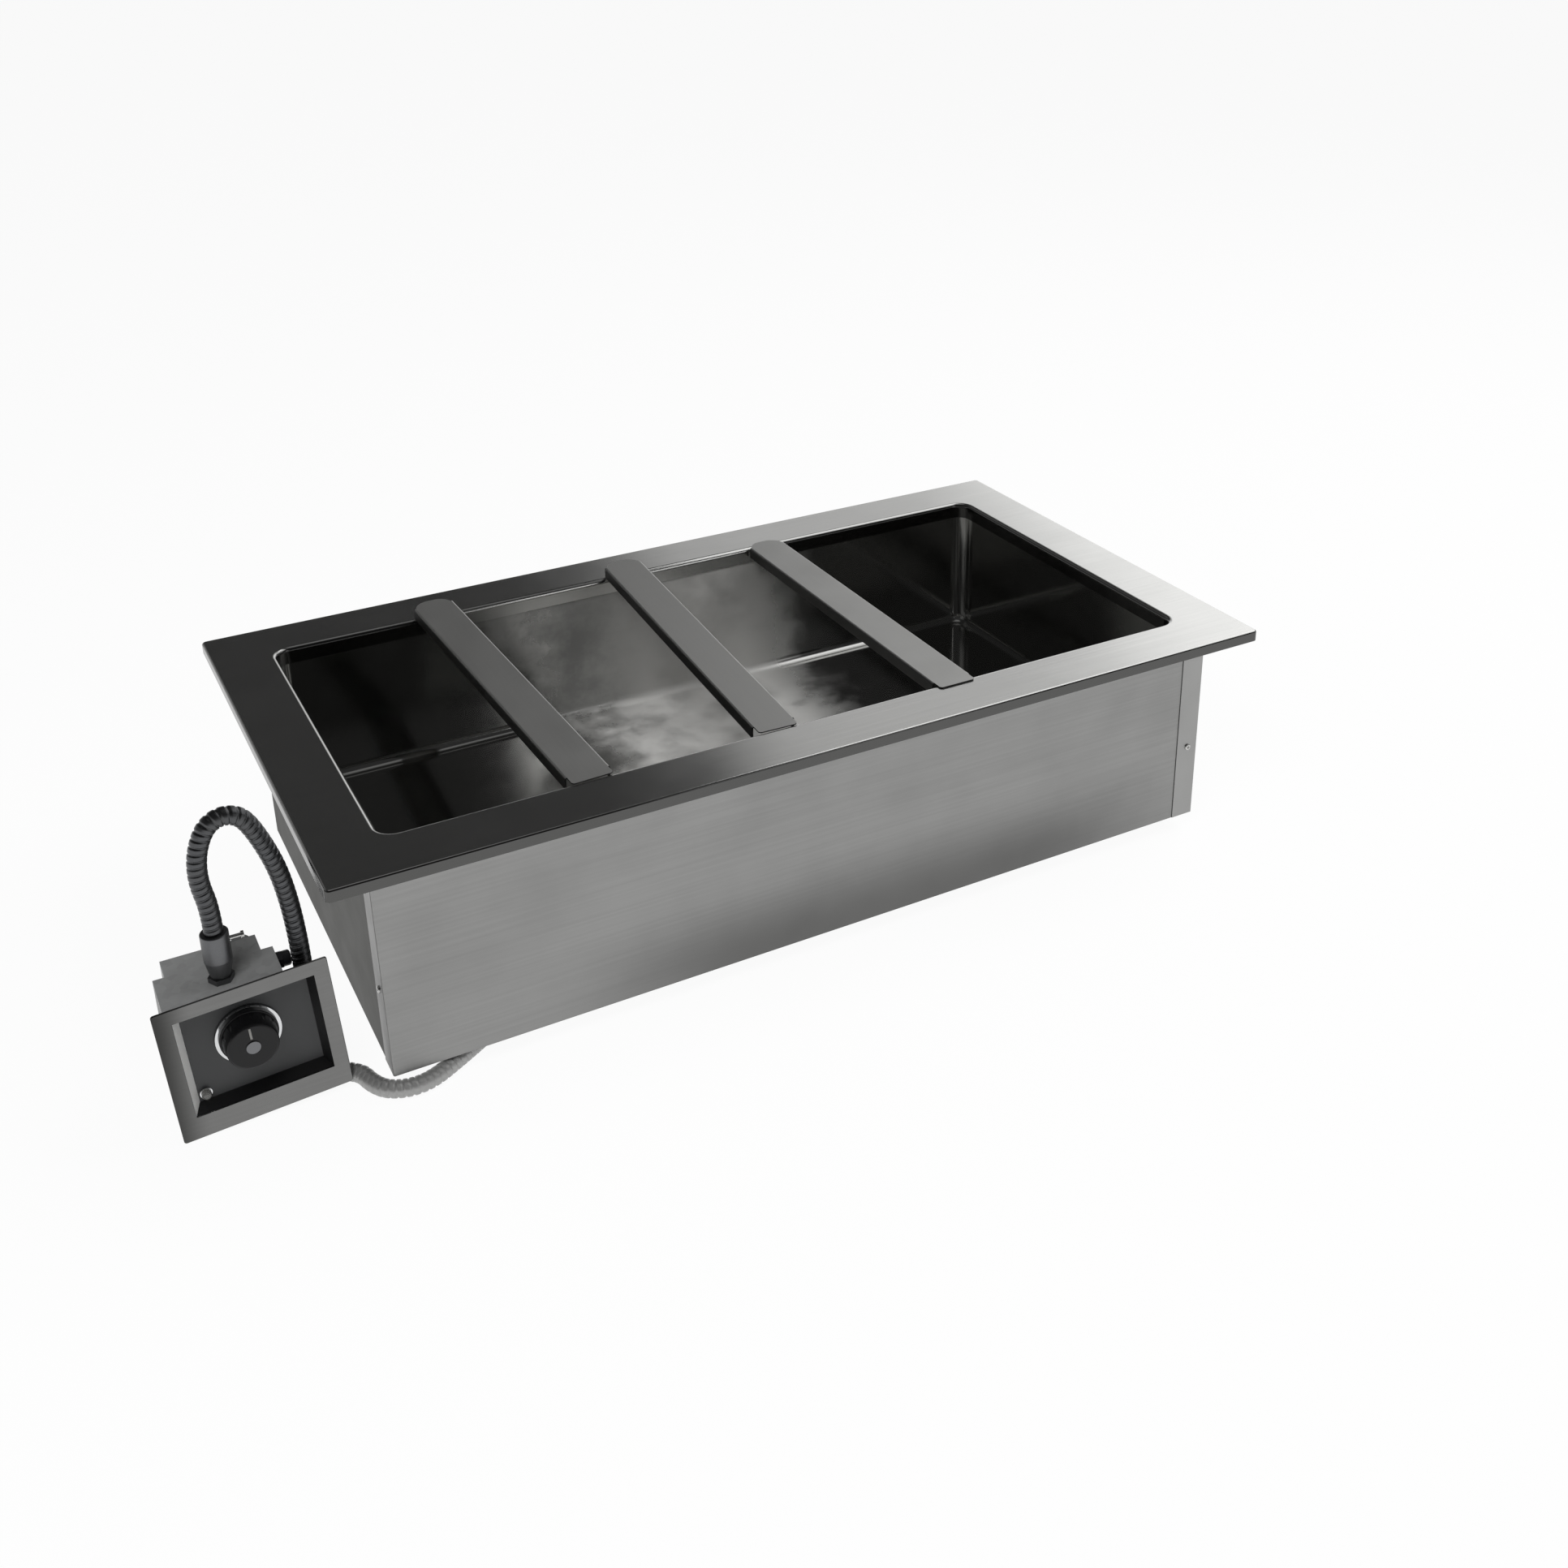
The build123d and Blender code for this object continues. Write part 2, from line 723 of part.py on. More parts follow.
# Adapter bars: inverted channels whose end tongues lie on the rim
def bar_solid():
    """A bar along Y with its top face at z = 0 and its middle at the origin."""
    cheek_length = tank_width - 2 * bar_wall_clearance
    outside = Pos(0, 0, -bar_height / 2) * Box(bar_width, cheek_length, bar_height)
    outside = fillet(outside.edges().filter_by(Axis.Y).group_by(Axis.Z)[-1], bar_bend_radius)
    inside_width = bar_width - 2 * bar_sheet
    inside = Pos(0, 0, -bar_height / 2 - bar_sheet) * Box(inside_width, cheek_length + 2, bar_height)
    inside = fillet(inside.edges().filter_by(Axis.Y).group_by(Axis.Z)[-1], bar_bend_radius - bar_sheet)
    web_width = bar_width - 2 * bar_bend_radius
    web = extrude(Rectangle(web_width, bar_length), amount=-bar_sheet)
    web = fillet(web.edges().filter_by(Axis.Z).group_by(Axis.Y)[-1], bar_back_radius)
    web = fillet(web.edges().filter_by(Axis.Z).group_by(Axis.Y)[0], bar_front_radius)
    return (outside - inside) + web


def bar_tilt(pushed):
    """Nose-up angle of a bar pushed back until its cheeks ride on the rear rim."""
    if not pushed:
        return 0.0
    cheek_end = tank_width / 2 - bar_wall_clearance
    span = cheek_end + bar_length / 2
    return math.degrees(math.asin((bar_height - bar_sheet) / span))


def make_bar(x, skew, pushed):
    tilt = bar_tilt(pushed)
    shift = bar_push if pushed else 0.0
    front_y = -bar_length / 2
    hinge = Pos(0, front_y, -bar_sheet)
    bar = hinge * Rot(tilt, 0, 0) * hinge.inverse() * bar_solid()
    lift = rim_height + bar_sheet + bar_rest_gap
    return Pos(x, shift, lift) * Rot(0, 0, skew) * bar


# Control box, drawn upright with its bezel's front lower left corner at the origin: x right, y back, z up
def make_plate():
    past = 1.0
    outline = Pos(plate_width / 2, 0, plate_height / 2) * Rot(90, 0, 0) * RectangleRounded(
        plate_width, plate_height, plate_corner_radius
    )
    plate = extrude(outline, amount=plate_sheet, dir=(0, 1, 0))
    plate = fillet(plate.edges().group_by(Axis.Y)[0], plate_sheet / 2)
    window = block(
        window_left, window_left + window_width, -past, plate_sheet + past,
        window_bottom, window_bottom + window_height,
    )
    return plate - window


def recess_frustum(grow, y0, y1):
    """The recess as a solid from depth y0 to y1, its sides sloping in, grown outwards all round."""
    def outline(depth):
        shrink = recess_slope * (depth - plate_sheet) / (recess_depth - plate_sheet) - grow
        centre = Vector(window_left + window_width / 2, depth, window_bottom + window_height / 2)
        plane = Plane(origin=centre, x_dir=(1, 0, 0), z_dir=(0, 1, 0))
        return plane * Rectangle(window_width - 2 * shrink, window_height - 2 * shrink)
    return loft([outline(y0), outline(y1)], ruled=True)


def make_recess_pan():
    past = 1.0
    shell = recess_frustum(pan_sheet, plate_sheet, panel_back)
    flange = block(
        window_left - pan_flange, window_left + window_width + pan_flange,
        plate_sheet, plate_sheet + pan_sheet,
        window_bottom - pan_flange, window_bottom + window_height + pan_flange,
    )
    pan = shell + flange - recess_frustum(0.0, plate_sheet, panel_front)
    pan = pan - rod_y(knob_x, knob_z, bush_radius + bush_hole_fit, 0, panel_back + past)
    return pan - rod_y(lamp_x, lamp_z, lamp_body_radius + bush_hole_fit, 0, panel_back + past)


def make_housing():
    past = 1.0
    outside = block(housing_left, housing_right, plate_sheet, housing_depth, housing_bottom, housing_top)
    inside = block(
        housing_left + housing_sheet, housing_right - housing_sheet, plate_sheet - past,
        housing_depth - housing_sheet, housing_bottom + housing_sheet, housing_top - housing_sheet,
    )
    mouth = block(
        housing_left + housing_return, housing_right - housing_return, housing_depth - 2 * housing_sheet,
        housing_depth + past, housing_bottom + housing_return, housing_top - housing_return,
    )
    room = pan_flange + pan_clearance
    pan_room = block(
        window_left - room, window_left + window_width + room,
        plate_sheet - past, panel_back + pan_clearance,
        window_bottom - room, window_bottom + window_height + room,
    )
    housing = outside - inside - mouth - housing_shift.inverse() * pan_room
    housing = housing - rod_z(
        connector_x, connector_depth, nipple_radius + nipple_fit,
        housing_top - 2 * housing_sheet, housing_top + past,
    )
    housing = housing - rod_x(
        plug_depth, housing_top - plug_drop, plug_stem_radius + plug_fit,
        housing_right - 2 * housing_sheet, housing_right + past,
    )
    for x, z in cover_screw_places():
        housing = housing - rod_y(
            x, z, screw_hole_radius, housing_depth - 2 * housing_sheet, housing_depth + past
        )
    return housing


def cover_screw_places():
    side_x = housing_left + housing_return / 2
    low_z = housing_bottom + housing_return / 2
    middle_z = (housing_bottom + housing_top) / 2
    reach_z = (housing_top - housing_bottom) / 3
    middle_x = (housing_left + housing_right) / 2
    reach_x = (housing_right - housing_left) / 4
    return [
        (side_x, middle_z - reach_z), (side_x, middle_z + reach_z),
        (middle_x - reach_x, low_z), (middle_x + reach_x, low_z),
    ]


def make_rear_cover():
    past = 1.0
    left = housing_left + rear_left_inset
    right = housing_right - rear_right_inset
    low = housing_bottom + rear_low_inset
    high = housing_top - housing_sheet
    sheet = block(housing_left, housing_right, housing_depth, rear_sheet_depth, housing_bottom, housing_top)
    hump = block(left, right, housing_depth, rear_depth, low, high)
    hollow = block(
        left + housing_sheet, right - housing_sheet, housing_depth - past, rear_depth - housing_sheet,
        low + housing_sheet, high - housing_sheet,
    )
    ear_top = high + ear_rise - ear_radius
    ear = rod_y(ear_centre, ear_top, ear_radius, rear_depth - housing_sheet, rear_depth)
    ear = ear + block(
        ear_centre - ear_radius, ear_centre + ear_radius, rear_depth - housing_sheet, rear_depth,
        high - ear_radius, ear_top,
    )
    ear_hole = rod_y(
        ear_centre, high - ear_hole_drop, ear_hole_radius,
        rear_depth - 2 * housing_sheet, rear_depth + past,
    )
    cover = sheet + hump - hollow + ear - ear_hole
    for x, z in cover_screw_places():
        cover = cover - rod_y(x, z, screw_hole_radius, housing_depth - past, rear_sheet_depth + past)
    return cover


def make_cover_screws():
    inward = Rot(0, 0, -90)
    return [Pos(x, rear_sheet_depth, z) * inward * pan_screw() for x, z in cover_screw_places()]


# Thermostat, spindle and knob, on one line through the recessed panel
def make_thermostat():
    half = thermostat_size / 2
    back = panel_back + thermostat_length
    body = block(knob_x - half, knob_x + half, panel_back, back, knob_z - half, knob_z + half)
    bush = rod_y(knob_x, knob_z, bush_radius, panel_front - bush_length, panel_back)
    cavity = rod_y(
        knob_x, knob_z, spindle_radius + spindle_fit,
        panel_front - 2 * bush_length, panel_back + thermostat_cavity,
    )
    return body + bush - cavity


def make_bush_nut():
    hexagon = Pos(knob_x, panel_front, knob_z) * Rot(90, 0, 0) * RegularPolygon(bush_nut_radius, 6)
    nut = extrude(hexagon, amount=bush_nut_height, dir=(0, -1, 0))
    return nut - rod_y(knob_x, knob_z, bush_radius + spindle_fit, 0, panel_front + 1)


knob_back = panel_front - knob_panel_gap
knob_seat = knob_back - knob_ring_height
knob_front = knob_seat - knob_length
spindle_front = knob_front + spindle_front_wall


def make_spindle():
    back = panel_back + thermostat_cavity - spindle_radius
    return rod_y(knob_x, knob_z, spindle_radius, spindle_front, back)


def make_knob():
    past = 1.0
    middle = (knob_seat + knob_front) / 2
    body = Pos(knob_x, middle, knob_z) * Rot(90, 0, 0) * Cone(knob_radius, knob_face_radius, knob_length)
    body = fillet(body.edges().group_by(Axis.Y)[0], knob_edge_radius)
    flute_ring = knob_radius + knob_flute_radius - knob_flute_depth
    for i in range(knob_flutes):
        turn = 2 * math.pi * i / knob_flutes
        x = knob_x + flute_ring * math.cos(turn)
        z = knob_z + flute_ring * math.sin(turn)
        body = body - rod_y(x, z, knob_flute_radius, knob_front - past, knob_seat - knob_rim_height)
    rim = rod_y(knob_x, knob_z, knob_rim_radius, knob_seat - knob_rim_height, knob_seat)
    rim = fillet(rim.edges().group_by(Axis.Y)[0], knob_rim_height / 3)
    well_radius = bush_nut_radius + knob_panel_gap
    well = rod_y(knob_x, knob_z, well_radius, knob_seat - bush_length, knob_seat + past)
    bore = rod_y(knob_x, knob_z, spindle_radius + spindle_fit, spindle_front, knob_seat + past)
    return body + rim - well - bore


def make_knob_ring():
    ring = rod_y(knob_x, knob_z, knob_ring_radius, knob_seat, knob_back)
    return ring - rod_y(knob_x, knob_z, knob_ring_bore, knob_seat - 1, knob_back + 1)


def make_knob_cap():
    cap = rod_y(knob_x, knob_z, knob_cap_radius, knob_front - knob_cap_height, knob_front)
    return fillet(cap.edges().group_by(Axis.Y)[0], knob_cap_height / 2)


def make_knob_pointer():
    outer = knob_face_radius - knob_edge_radius
    return block(
        knob_x - knob_pointer_width / 2, knob_x + knob_pointer_width / 2,
        knob_front - knob_pointer_height, knob_front, knob_z + outer - knob_pointer_length, knob_z + outer,
    )


# Pilot lamp and the blanking plug
def make_lamp_body():
    flange = rod_y(lamp_x, lamp_z, lamp_flange_radius, panel_front - lamp_flange_height, panel_front)
    return flange + rod_y(lamp_x, lamp_z, lamp_body_radius, panel_front, panel_back + lamp_body_length)


def make_lamp_lens():
    seat = panel_front - lamp_flange_height
    lens = rod_y(lamp_x, lamp_z, lamp_lens_radius, seat - lamp_lens_height, seat)
    return fillet(lens.edges().group_by(Axis.Y)[0], lamp_lens_round)


def make_plug():
    z = housing_top - plug_drop
    collar = Pos(housing_right, plug_depth, z) * Rot(0, 90, 0) * extrude(
        RegularPolygon(plug_collar_radius, 6), amount=plug_collar_height
    )
    cap = rod_x(plug_depth, z, plug_radius, housing_right, housing_right + plug_height)
    cap = fillet(cap.edges().group_by(Axis.X)[-1], plug_round)
    stem = rod_x(plug_depth, z, plug_stem_radius, housing_right - plug_stem_length, housing_right)
    return collar + cap + stem


# Squeeze connector on the box's top
def make_box_connector():
    past = 1.0
    seat = housing_top
    neck_top = seat + connector_collar_height
    cone_top = neck_top + connector_cone_height
    top = seat + connector_height
    collar = hexagon_z(connector_x, connector_depth, connector_collar_radius, seat, neck_top)
    cone = Pos(connector_x, connector_depth, (neck_top + cone_top) / 2) * Cone(
        connector_neck_radius, connector_body_radius, connector_cone_height
    )
    barrel = rod_z(connector_x, connector_depth, connector_body_radius, cone_top, top)
    barrel = fillet(barrel.edges().group_by(Axis.Z)[-1], connector_edge_radius)
    nipple = rod_z(connector_x, connector_depth, nipple_radius, seat - nipple_length, seat)
    bore = rod_z(connector_x, connector_depth, conduit_bore, seat - nipple_length - past, top + past)
    screw_hole = rod_x(
        connector_depth, seat + connector_screw_height, connector_screw_radius + screw_fit,
        connector_x, connector_x + connector_body_radius + past,
    )
    return collar + cone + barrel + nipple - bore - screw_hole


def make_connector_screw():
    z = housing_top + connector_screw_height
    inner = connector_x + conduit_bore + screw_fit
    outer = connector_x + connector_body_radius + connector_screw_length
    shank = rod_x(connector_depth, z, connector_screw_radius, inner, outer)
    head = rod_x(connector_depth, z, connector_screw_head, outer, outer + connector_screw_head_height)
    return shank + head


def make_box_locknut():
    top = housing_top - housing_sheet
    nut = hexagon_z(connector_x, connector_depth, locknut_radius, top - locknut_height, top)
    bore_radius = nipple_radius + locknut_fit
    return nut - rod_z(connector_x, connector_depth, bore_radius, top - 2 * locknut_height, top + 1)


# Elbow connector under the casing, its barrel facing the conduit
def make_elbow():
    past = 1.0
    x, y = elbow_hub.X, elbow_hub.Y
    barrel_plane = Plane(origin=elbow_mouth, x_dir=(0, 0, 1), z_dir=elbow_direction)
    barrel = extrude(barrel_plane * Circle(elbow_barrel_radius), amount=elbow_barrel_length)
    knuckle = Pos(x, y, elbow_z) * Sphere(elbow_barrel_radius)
    riser = rod_z(x, y, elbow_barrel_radius, elbow_z, casing_bottom)
    nipple = rod_z(x, y, nipple_radius, casing_bottom, base_sheet_top + nipple_length)
    bore = extrude(barrel_plane * Circle(conduit_bore), amount=elbow_barrel_length)
    turn = Pos(x, y, elbow_z) * Sphere(conduit_bore)
    rise = rod_z(x, y, conduit_bore, elbow_z, base_sheet_top + nipple_length + past)
    return barrel + knuckle + riser + nipple - bore - turn - rise


def make_elbow_locknut():
    bottom = base_sheet_top
    x, y = elbow_hub.X, elbow_hub.Y
    nut = hexagon_z(x, y, locknut_radius, bottom, bottom + locknut_height)
    return nut - rod_z(x, y, nipple_radius + locknut_fit, bottom - 1, bottom + 2 * locknut_height)


# Conduit route: up from the box, over in a loop, down behind the bezel, out and under the casing.
# Its points are measured from the floor below the casing's front left corner.
route_origin = Vector(corner_x, corner_y, ground)
connector_top = housing_top + connector_height
conduit_start = (housing_place * Pos(connector_x, connector_depth, connector_top)).position
conduit_rise = (housing_place * Pos(connector_x, connector_depth, connector_top + conduit_lead)).position
loop = conduit_start.Y - corner_y
lie = conduit_radius
conduit_route = [
    (-153.5, loop, 281), (-152.5, loop, 308), (-146, loop, 330), (-136.5, loop, 345),
    (-122.5, loop, 351.5), (-107.5, loop, 347.8), (-97.5, loop, 335.5), (-85.5, loop, 306),
    (-75.5, loop, 272), (-69.5, loop, 231), (-66.5, loop, 186), (-65.5, loop, 131),
    (-64, loop, 81), (-63.5, loop - 0.5, 38), (-55.5, 62.5, 20), (-40.5, 54.5, lie),
    (-25, 41, lie), (-20.5, 22.5, lie), (-10.5, 4.5, lie), (5.5, -5, lie),
    (24, -8, lie), (44, -3.5, lie), (66.5, 8, lie + 1),
]
conduit_tail = 32.6
run_share = 0.45


def conduit_path():
    points = [conduit_start, conduit_rise]
    points += [route_origin + Vector(step) for step in conduit_route]
    points += [elbow_mouth - elbow_direction * conduit_tail, elbow_mouth]
    radii = []
    for before, here, after in zip(points, points[1:], points[2:]):
        first = here - before
        second = after - here
        turn = math.radians(first.get_angle(second))
        radii.append(run_share * min(first.length, second.length) / math.tan(turn / 2))
    print("conduit radii", [round(radius, 1) for radius in radii])
    return FilletPolyline(*points, radius=radii)


def rib_stations(length):
    """Distances along the conduit and the radius at each: four circles to a rib."""
    count = round(length / rib_pitch)
    pitch = length / count
    groove = conduit_radius - conduit_groove
    profile = (
        (0.0, groove), (rib_flank, conduit_radius), (rib_flank + rib_crest, conduit_radius),
        (2 * rib_flank + rib_crest, groove),
    )
    stations = [((i + share) * pitch, radius) for i in range(count) for share, radius in profile]
    stations.append((length, groove))
    return stations


def steady_planes(path, distances):
    """Planes across the path whose X axis is carried along without twisting."""
    planes = []
    axis = Vector(0, 1, 0)
    for distance in distances:
        origin = path.position_at(distance, position_mode=PositionMode.LENGTH)
        ahead = path.tangent_at(distance, position_mode=PositionMode.LENGTH)
        axis = (axis - ahead * axis.dot(ahead)).normalized()
        planes.append(Plane(origin=origin, x_dir=axis, z_dir=ahead))
    return planes


def report_self_gap(planes, distances):
    """Prints the least gap between stretches of the conduit that are more than a loop's width apart."""
    apart = 4 * math.pi * conduit_radius
    least = math.inf
    stops = list(zip(distances, planes))
    for i, (start, first) in enumerate(stops):
        for end, second in stops[i:]:
            if end - start > apart:
                least = min(least, (second.origin - first.origin).length - 2 * conduit_radius)
    print("conduit least gap to itself", round(least, 1))


def make_conduit():
    path = conduit_path()
    length = path.length
    stations = rib_stations(length)
    distances = [distance for distance, radius in stations]
    planes = steady_planes(path, distances)
    report_self_gap(planes, distances)
    circles = [plane * Circle(radius) for plane, (distance, radius) in zip(planes, stations)]
    outside = loft(circles, ruled=True)
    inside = loft([plane * Circle(conduit_bore) for plane in planes], ruled=True)
    conduit = outside - inside
    mean = math.pi * ((conduit_radius - conduit_groove / 3) ** 2 - conduit_bore ** 2) * length
    print("conduit length", round(length, 1))
    print("conduit volume over section times length", round(conduit.volume / mean, 3))
    return conduit


# Every piece by name
def on_bezel(shape):
    return box_place * shape


def on_housing(shape):
    if isinstance(shape, list):
        return [housing_place * one for one in shape]
    return housing_place * shape


pieces = {
    "top_rim": make_rim(),
    "well_liner": make_liner(),
    "casing_front": make_long_panel(),
    "casing_right": Rot(0, 0, 90) * make_end_panel(),
    "casing_back": Rot(0, 0, 180) * make_long_panel(),
    "casing_left": Rot(0, 0, 270) * make_end_panel(),
    "casing_base": make_base_sheet(),
    "casing_screws": make_seam_screws(),
    "base_screws": make_base_screws(),
    "base_insulation": make_base_insulation(),
    "heat_shield": make_heat_shield(),
    "side_insulation": make_side_insulation(),
    "element_clamps": make_clamps(),
    "thermostat_bulb": make_bulb(),
    "bulb_clips": make_bulb_clips(),
    "capillary_tube": make_capillary(),
    "high_limit_cutout": make_cutout(),
    "terminal_block": make_terminal_block(),
    "drain_fitting": make_drain(),
    "drain_screen": make_drain_screen(),
    "drain_gasket": make_drain_gasket(),
    "drain_locknut": make_drain_nut(),
    "adapter_bar_left": make_bar(bar_left_x, bar_left_skew, True),
    "adapter_bar_centre": make_bar(bar_centre_x, bar_centre_skew, True),
    "adapter_bar_right": make_bar(bar_right_x, bar_right_skew, False),
    "control_bezel": on_bezel(make_plate()),
    "control_recess": on_bezel(make_recess_pan()),
    "control_housing": on_housing(make_housing()),
    "control_rear_cover": on_housing(make_rear_cover()),
    "cover_screws": on_housing(make_cover_screws()),
    "thermostat_body": on_bezel(make_thermostat()),
    "thermostat_nut": on_bezel(make_bush_nut()),
    "thermostat_spindle": on_bezel(make_spindle()),
    "knob": on_bezel(make_knob()),
    "knob_ring": on_bezel(make_knob_ring()),
    "knob_cap": on_bezel(make_knob_cap()),
    "knob_pointer": on_bezel(make_knob_pointer()),
    "pilot_lamp_body": on_bezel(make_lamp_body()),
    "pilot_lamp_lens": on_bezel(make_lamp_lens()),
    "blanking_plug": on_housing(make_plug()),
    "box_connector": on_housing(make_box_connector()),
    "connector_screw": on_housing(make_connector_screw()),
    "box_locknut": on_housing(make_box_locknut()),
    "elbow_connector": make_elbow(),
    "elbow_locknut": make_elbow_locknut(),
    "conduit": make_conduit(),
}
for i, x in enumerate(element_positions()):
    pieces[f"heating_element_{i + 1}"] = make_element(x)

os.makedirs("parts", exist_ok=True)
for name, shape in pieces.items():
    solid = Compound(children=shape) if isinstance(shape, list) else shape
    export_step(solid, f"parts/{name}.step")
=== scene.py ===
"""Dresses a drop-in bain-marie with its remote control box, and sets it in a plain studio."""
import logging
import math
from dataclasses import dataclass, field
from enum import Enum

import bpy
from mathutils import Matrix, Vector

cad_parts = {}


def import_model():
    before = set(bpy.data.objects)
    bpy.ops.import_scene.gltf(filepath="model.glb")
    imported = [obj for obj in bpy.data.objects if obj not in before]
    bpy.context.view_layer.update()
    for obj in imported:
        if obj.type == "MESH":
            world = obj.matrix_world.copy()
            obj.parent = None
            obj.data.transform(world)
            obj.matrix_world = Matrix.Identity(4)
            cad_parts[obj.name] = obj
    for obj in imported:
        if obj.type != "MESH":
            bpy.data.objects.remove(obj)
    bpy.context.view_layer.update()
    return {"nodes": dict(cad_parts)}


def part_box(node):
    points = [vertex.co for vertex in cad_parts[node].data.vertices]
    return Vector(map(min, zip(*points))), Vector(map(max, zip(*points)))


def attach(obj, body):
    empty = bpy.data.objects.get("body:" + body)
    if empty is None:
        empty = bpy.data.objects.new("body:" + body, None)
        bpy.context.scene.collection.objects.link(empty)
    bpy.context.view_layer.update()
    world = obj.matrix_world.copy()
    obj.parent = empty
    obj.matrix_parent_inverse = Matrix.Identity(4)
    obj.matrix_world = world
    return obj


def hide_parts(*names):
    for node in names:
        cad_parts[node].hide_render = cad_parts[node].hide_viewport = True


log = logging.getLogger("bain_marie")

Tree = bpy.types.NodeTree
Socket = bpy.types.NodeSocket
Nodes = dict[str, bpy.types.Object]
Triple = tuple[float, float, float]
Pair = tuple[float, float]

MM = 0.001
WHITE = "#ffffff"
SMOOTH = {"interpolation_type": "SMOOTHSTEP"}
COLOURS = {"data_type": "RGBA"}
# The colour sockets of a Mix node, which has others for numbers and vectors.
MIX_FROM = 6
MIX_TO = 7
MIXED = 2
# Most of a noise's values lie between these two.
NOISE_LOW = 0.3
NOISE_HIGH = 0.7
# A ring wave's period at a scale of 1, about a third of a unit.
RING_PERIOD = 1 / math.pi
# The share of a full turn that lays a smeared reflection across the grain.
ACROSS_GRAIN = 0.25
# How far a grain's line lies off its axis, so that a face square to the axis has a grain too.
OFF_AXIS = 0.01


class Grain(Enum):
    """Which way a sheet was drawn through the abrasive rollers, as an axis of the part's frame."""

    ALONG_LENGTH = 0
    ALONG_WIDTH = 1


class Cell(Enum):
    """Forms of a broken-up surface, as Blender names them."""

    SPANGLE = "F1"
    CREASE = "DISTANCE_TO_EDGE"


def linear(code: str, share: float = 1.0) -> tuple[float, float, float, float]:
    """Turns an sRGB hex colour into linear light.

    Args:
        code: the colour, as "#rrggbb".
        share: how much of the colour's light is kept.

    Returns:
        Red, green and blue in linear light, and an alpha of 1.
    """
    channels = [int(code[i:i + 2], 16) / 255 for i in (1, 3, 5)]
    # The standard's curve: a straight foot, and a power above it.
    light = [c / 12.92 if c <= 0.04045 else ((c + 0.055) / 1.055) ** 2.4 for c in channels]
    return (*[min(1.0, v * share) for v in light], 1.0)


def per_metre(size_mm: float) -> float:
    """How many features of a size in millimetres fit in a metre."""
    return 1.0 / (size_mm * MM)


def middle(node: str) -> Triple:
    """Finds the middle of a node's box.

    Args:
        node: the node's name.

    Returns:
        The middle, in metres of the part's frame.
    """
    low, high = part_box(node)
    return tuple((a + b) / 2 for a, b in zip(low, high))


def add_node(tree: Tree, kind: str, settings: dict | None = None,
             inputs: dict | None = None) -> bpy.types.Node:
    """Adds one shader node with its settings and links.

    Args:
        tree: the node tree that it goes into.
        kind: Blender's name for the node.
        settings: values of the node's own properties.
        inputs: by a socket's name or number, a value or the output that is linked to it.

    Returns:
        The new node.
    """
    node = tree.nodes.new(kind)
    for name, value in (settings or {}).items():
        setattr(node, name, value)
    for name, value in (inputs or {}).items():
        if isinstance(value, Socket):
            tree.links.new(value, node.inputs[name])
        else:
            node.inputs[name].default_value = value
    return node


def facing(tree: Tree, way: str) -> Socket:
    """Finds how far a face points along an axis.

    Args:
        tree: the material's node tree.
        way: the axis, as "X", "Y" or "Z".

    Returns:
        From -1 for a face that points straight against the axis to 1 for one that points along it.
    """
    normal = add_node(tree, "ShaderNodeNewGeometry").outputs["True Normal"]
    return add_node(tree, "ShaderNodeSeparateXYZ", inputs={0: normal}).outputs[way]


def empty_material(name: str) -> tuple[bpy.types.Material, Tree]:
    """Makes a material with an empty node tree.

    Args:
        name: the material's name.

    Returns:
        The material and its tree.
    """
    material = bpy.data.materials.new(name)
    material.use_nodes = True
    material.node_tree.nodes.clear()
    return material, material.node_tree


def close_surface(tree: Tree, shader: bpy.types.Node) -> None:
    """Links a shader to a new material output."""
    add_node(tree, "ShaderNodeOutputMaterial", inputs={"Surface": shader.outputs[0]})


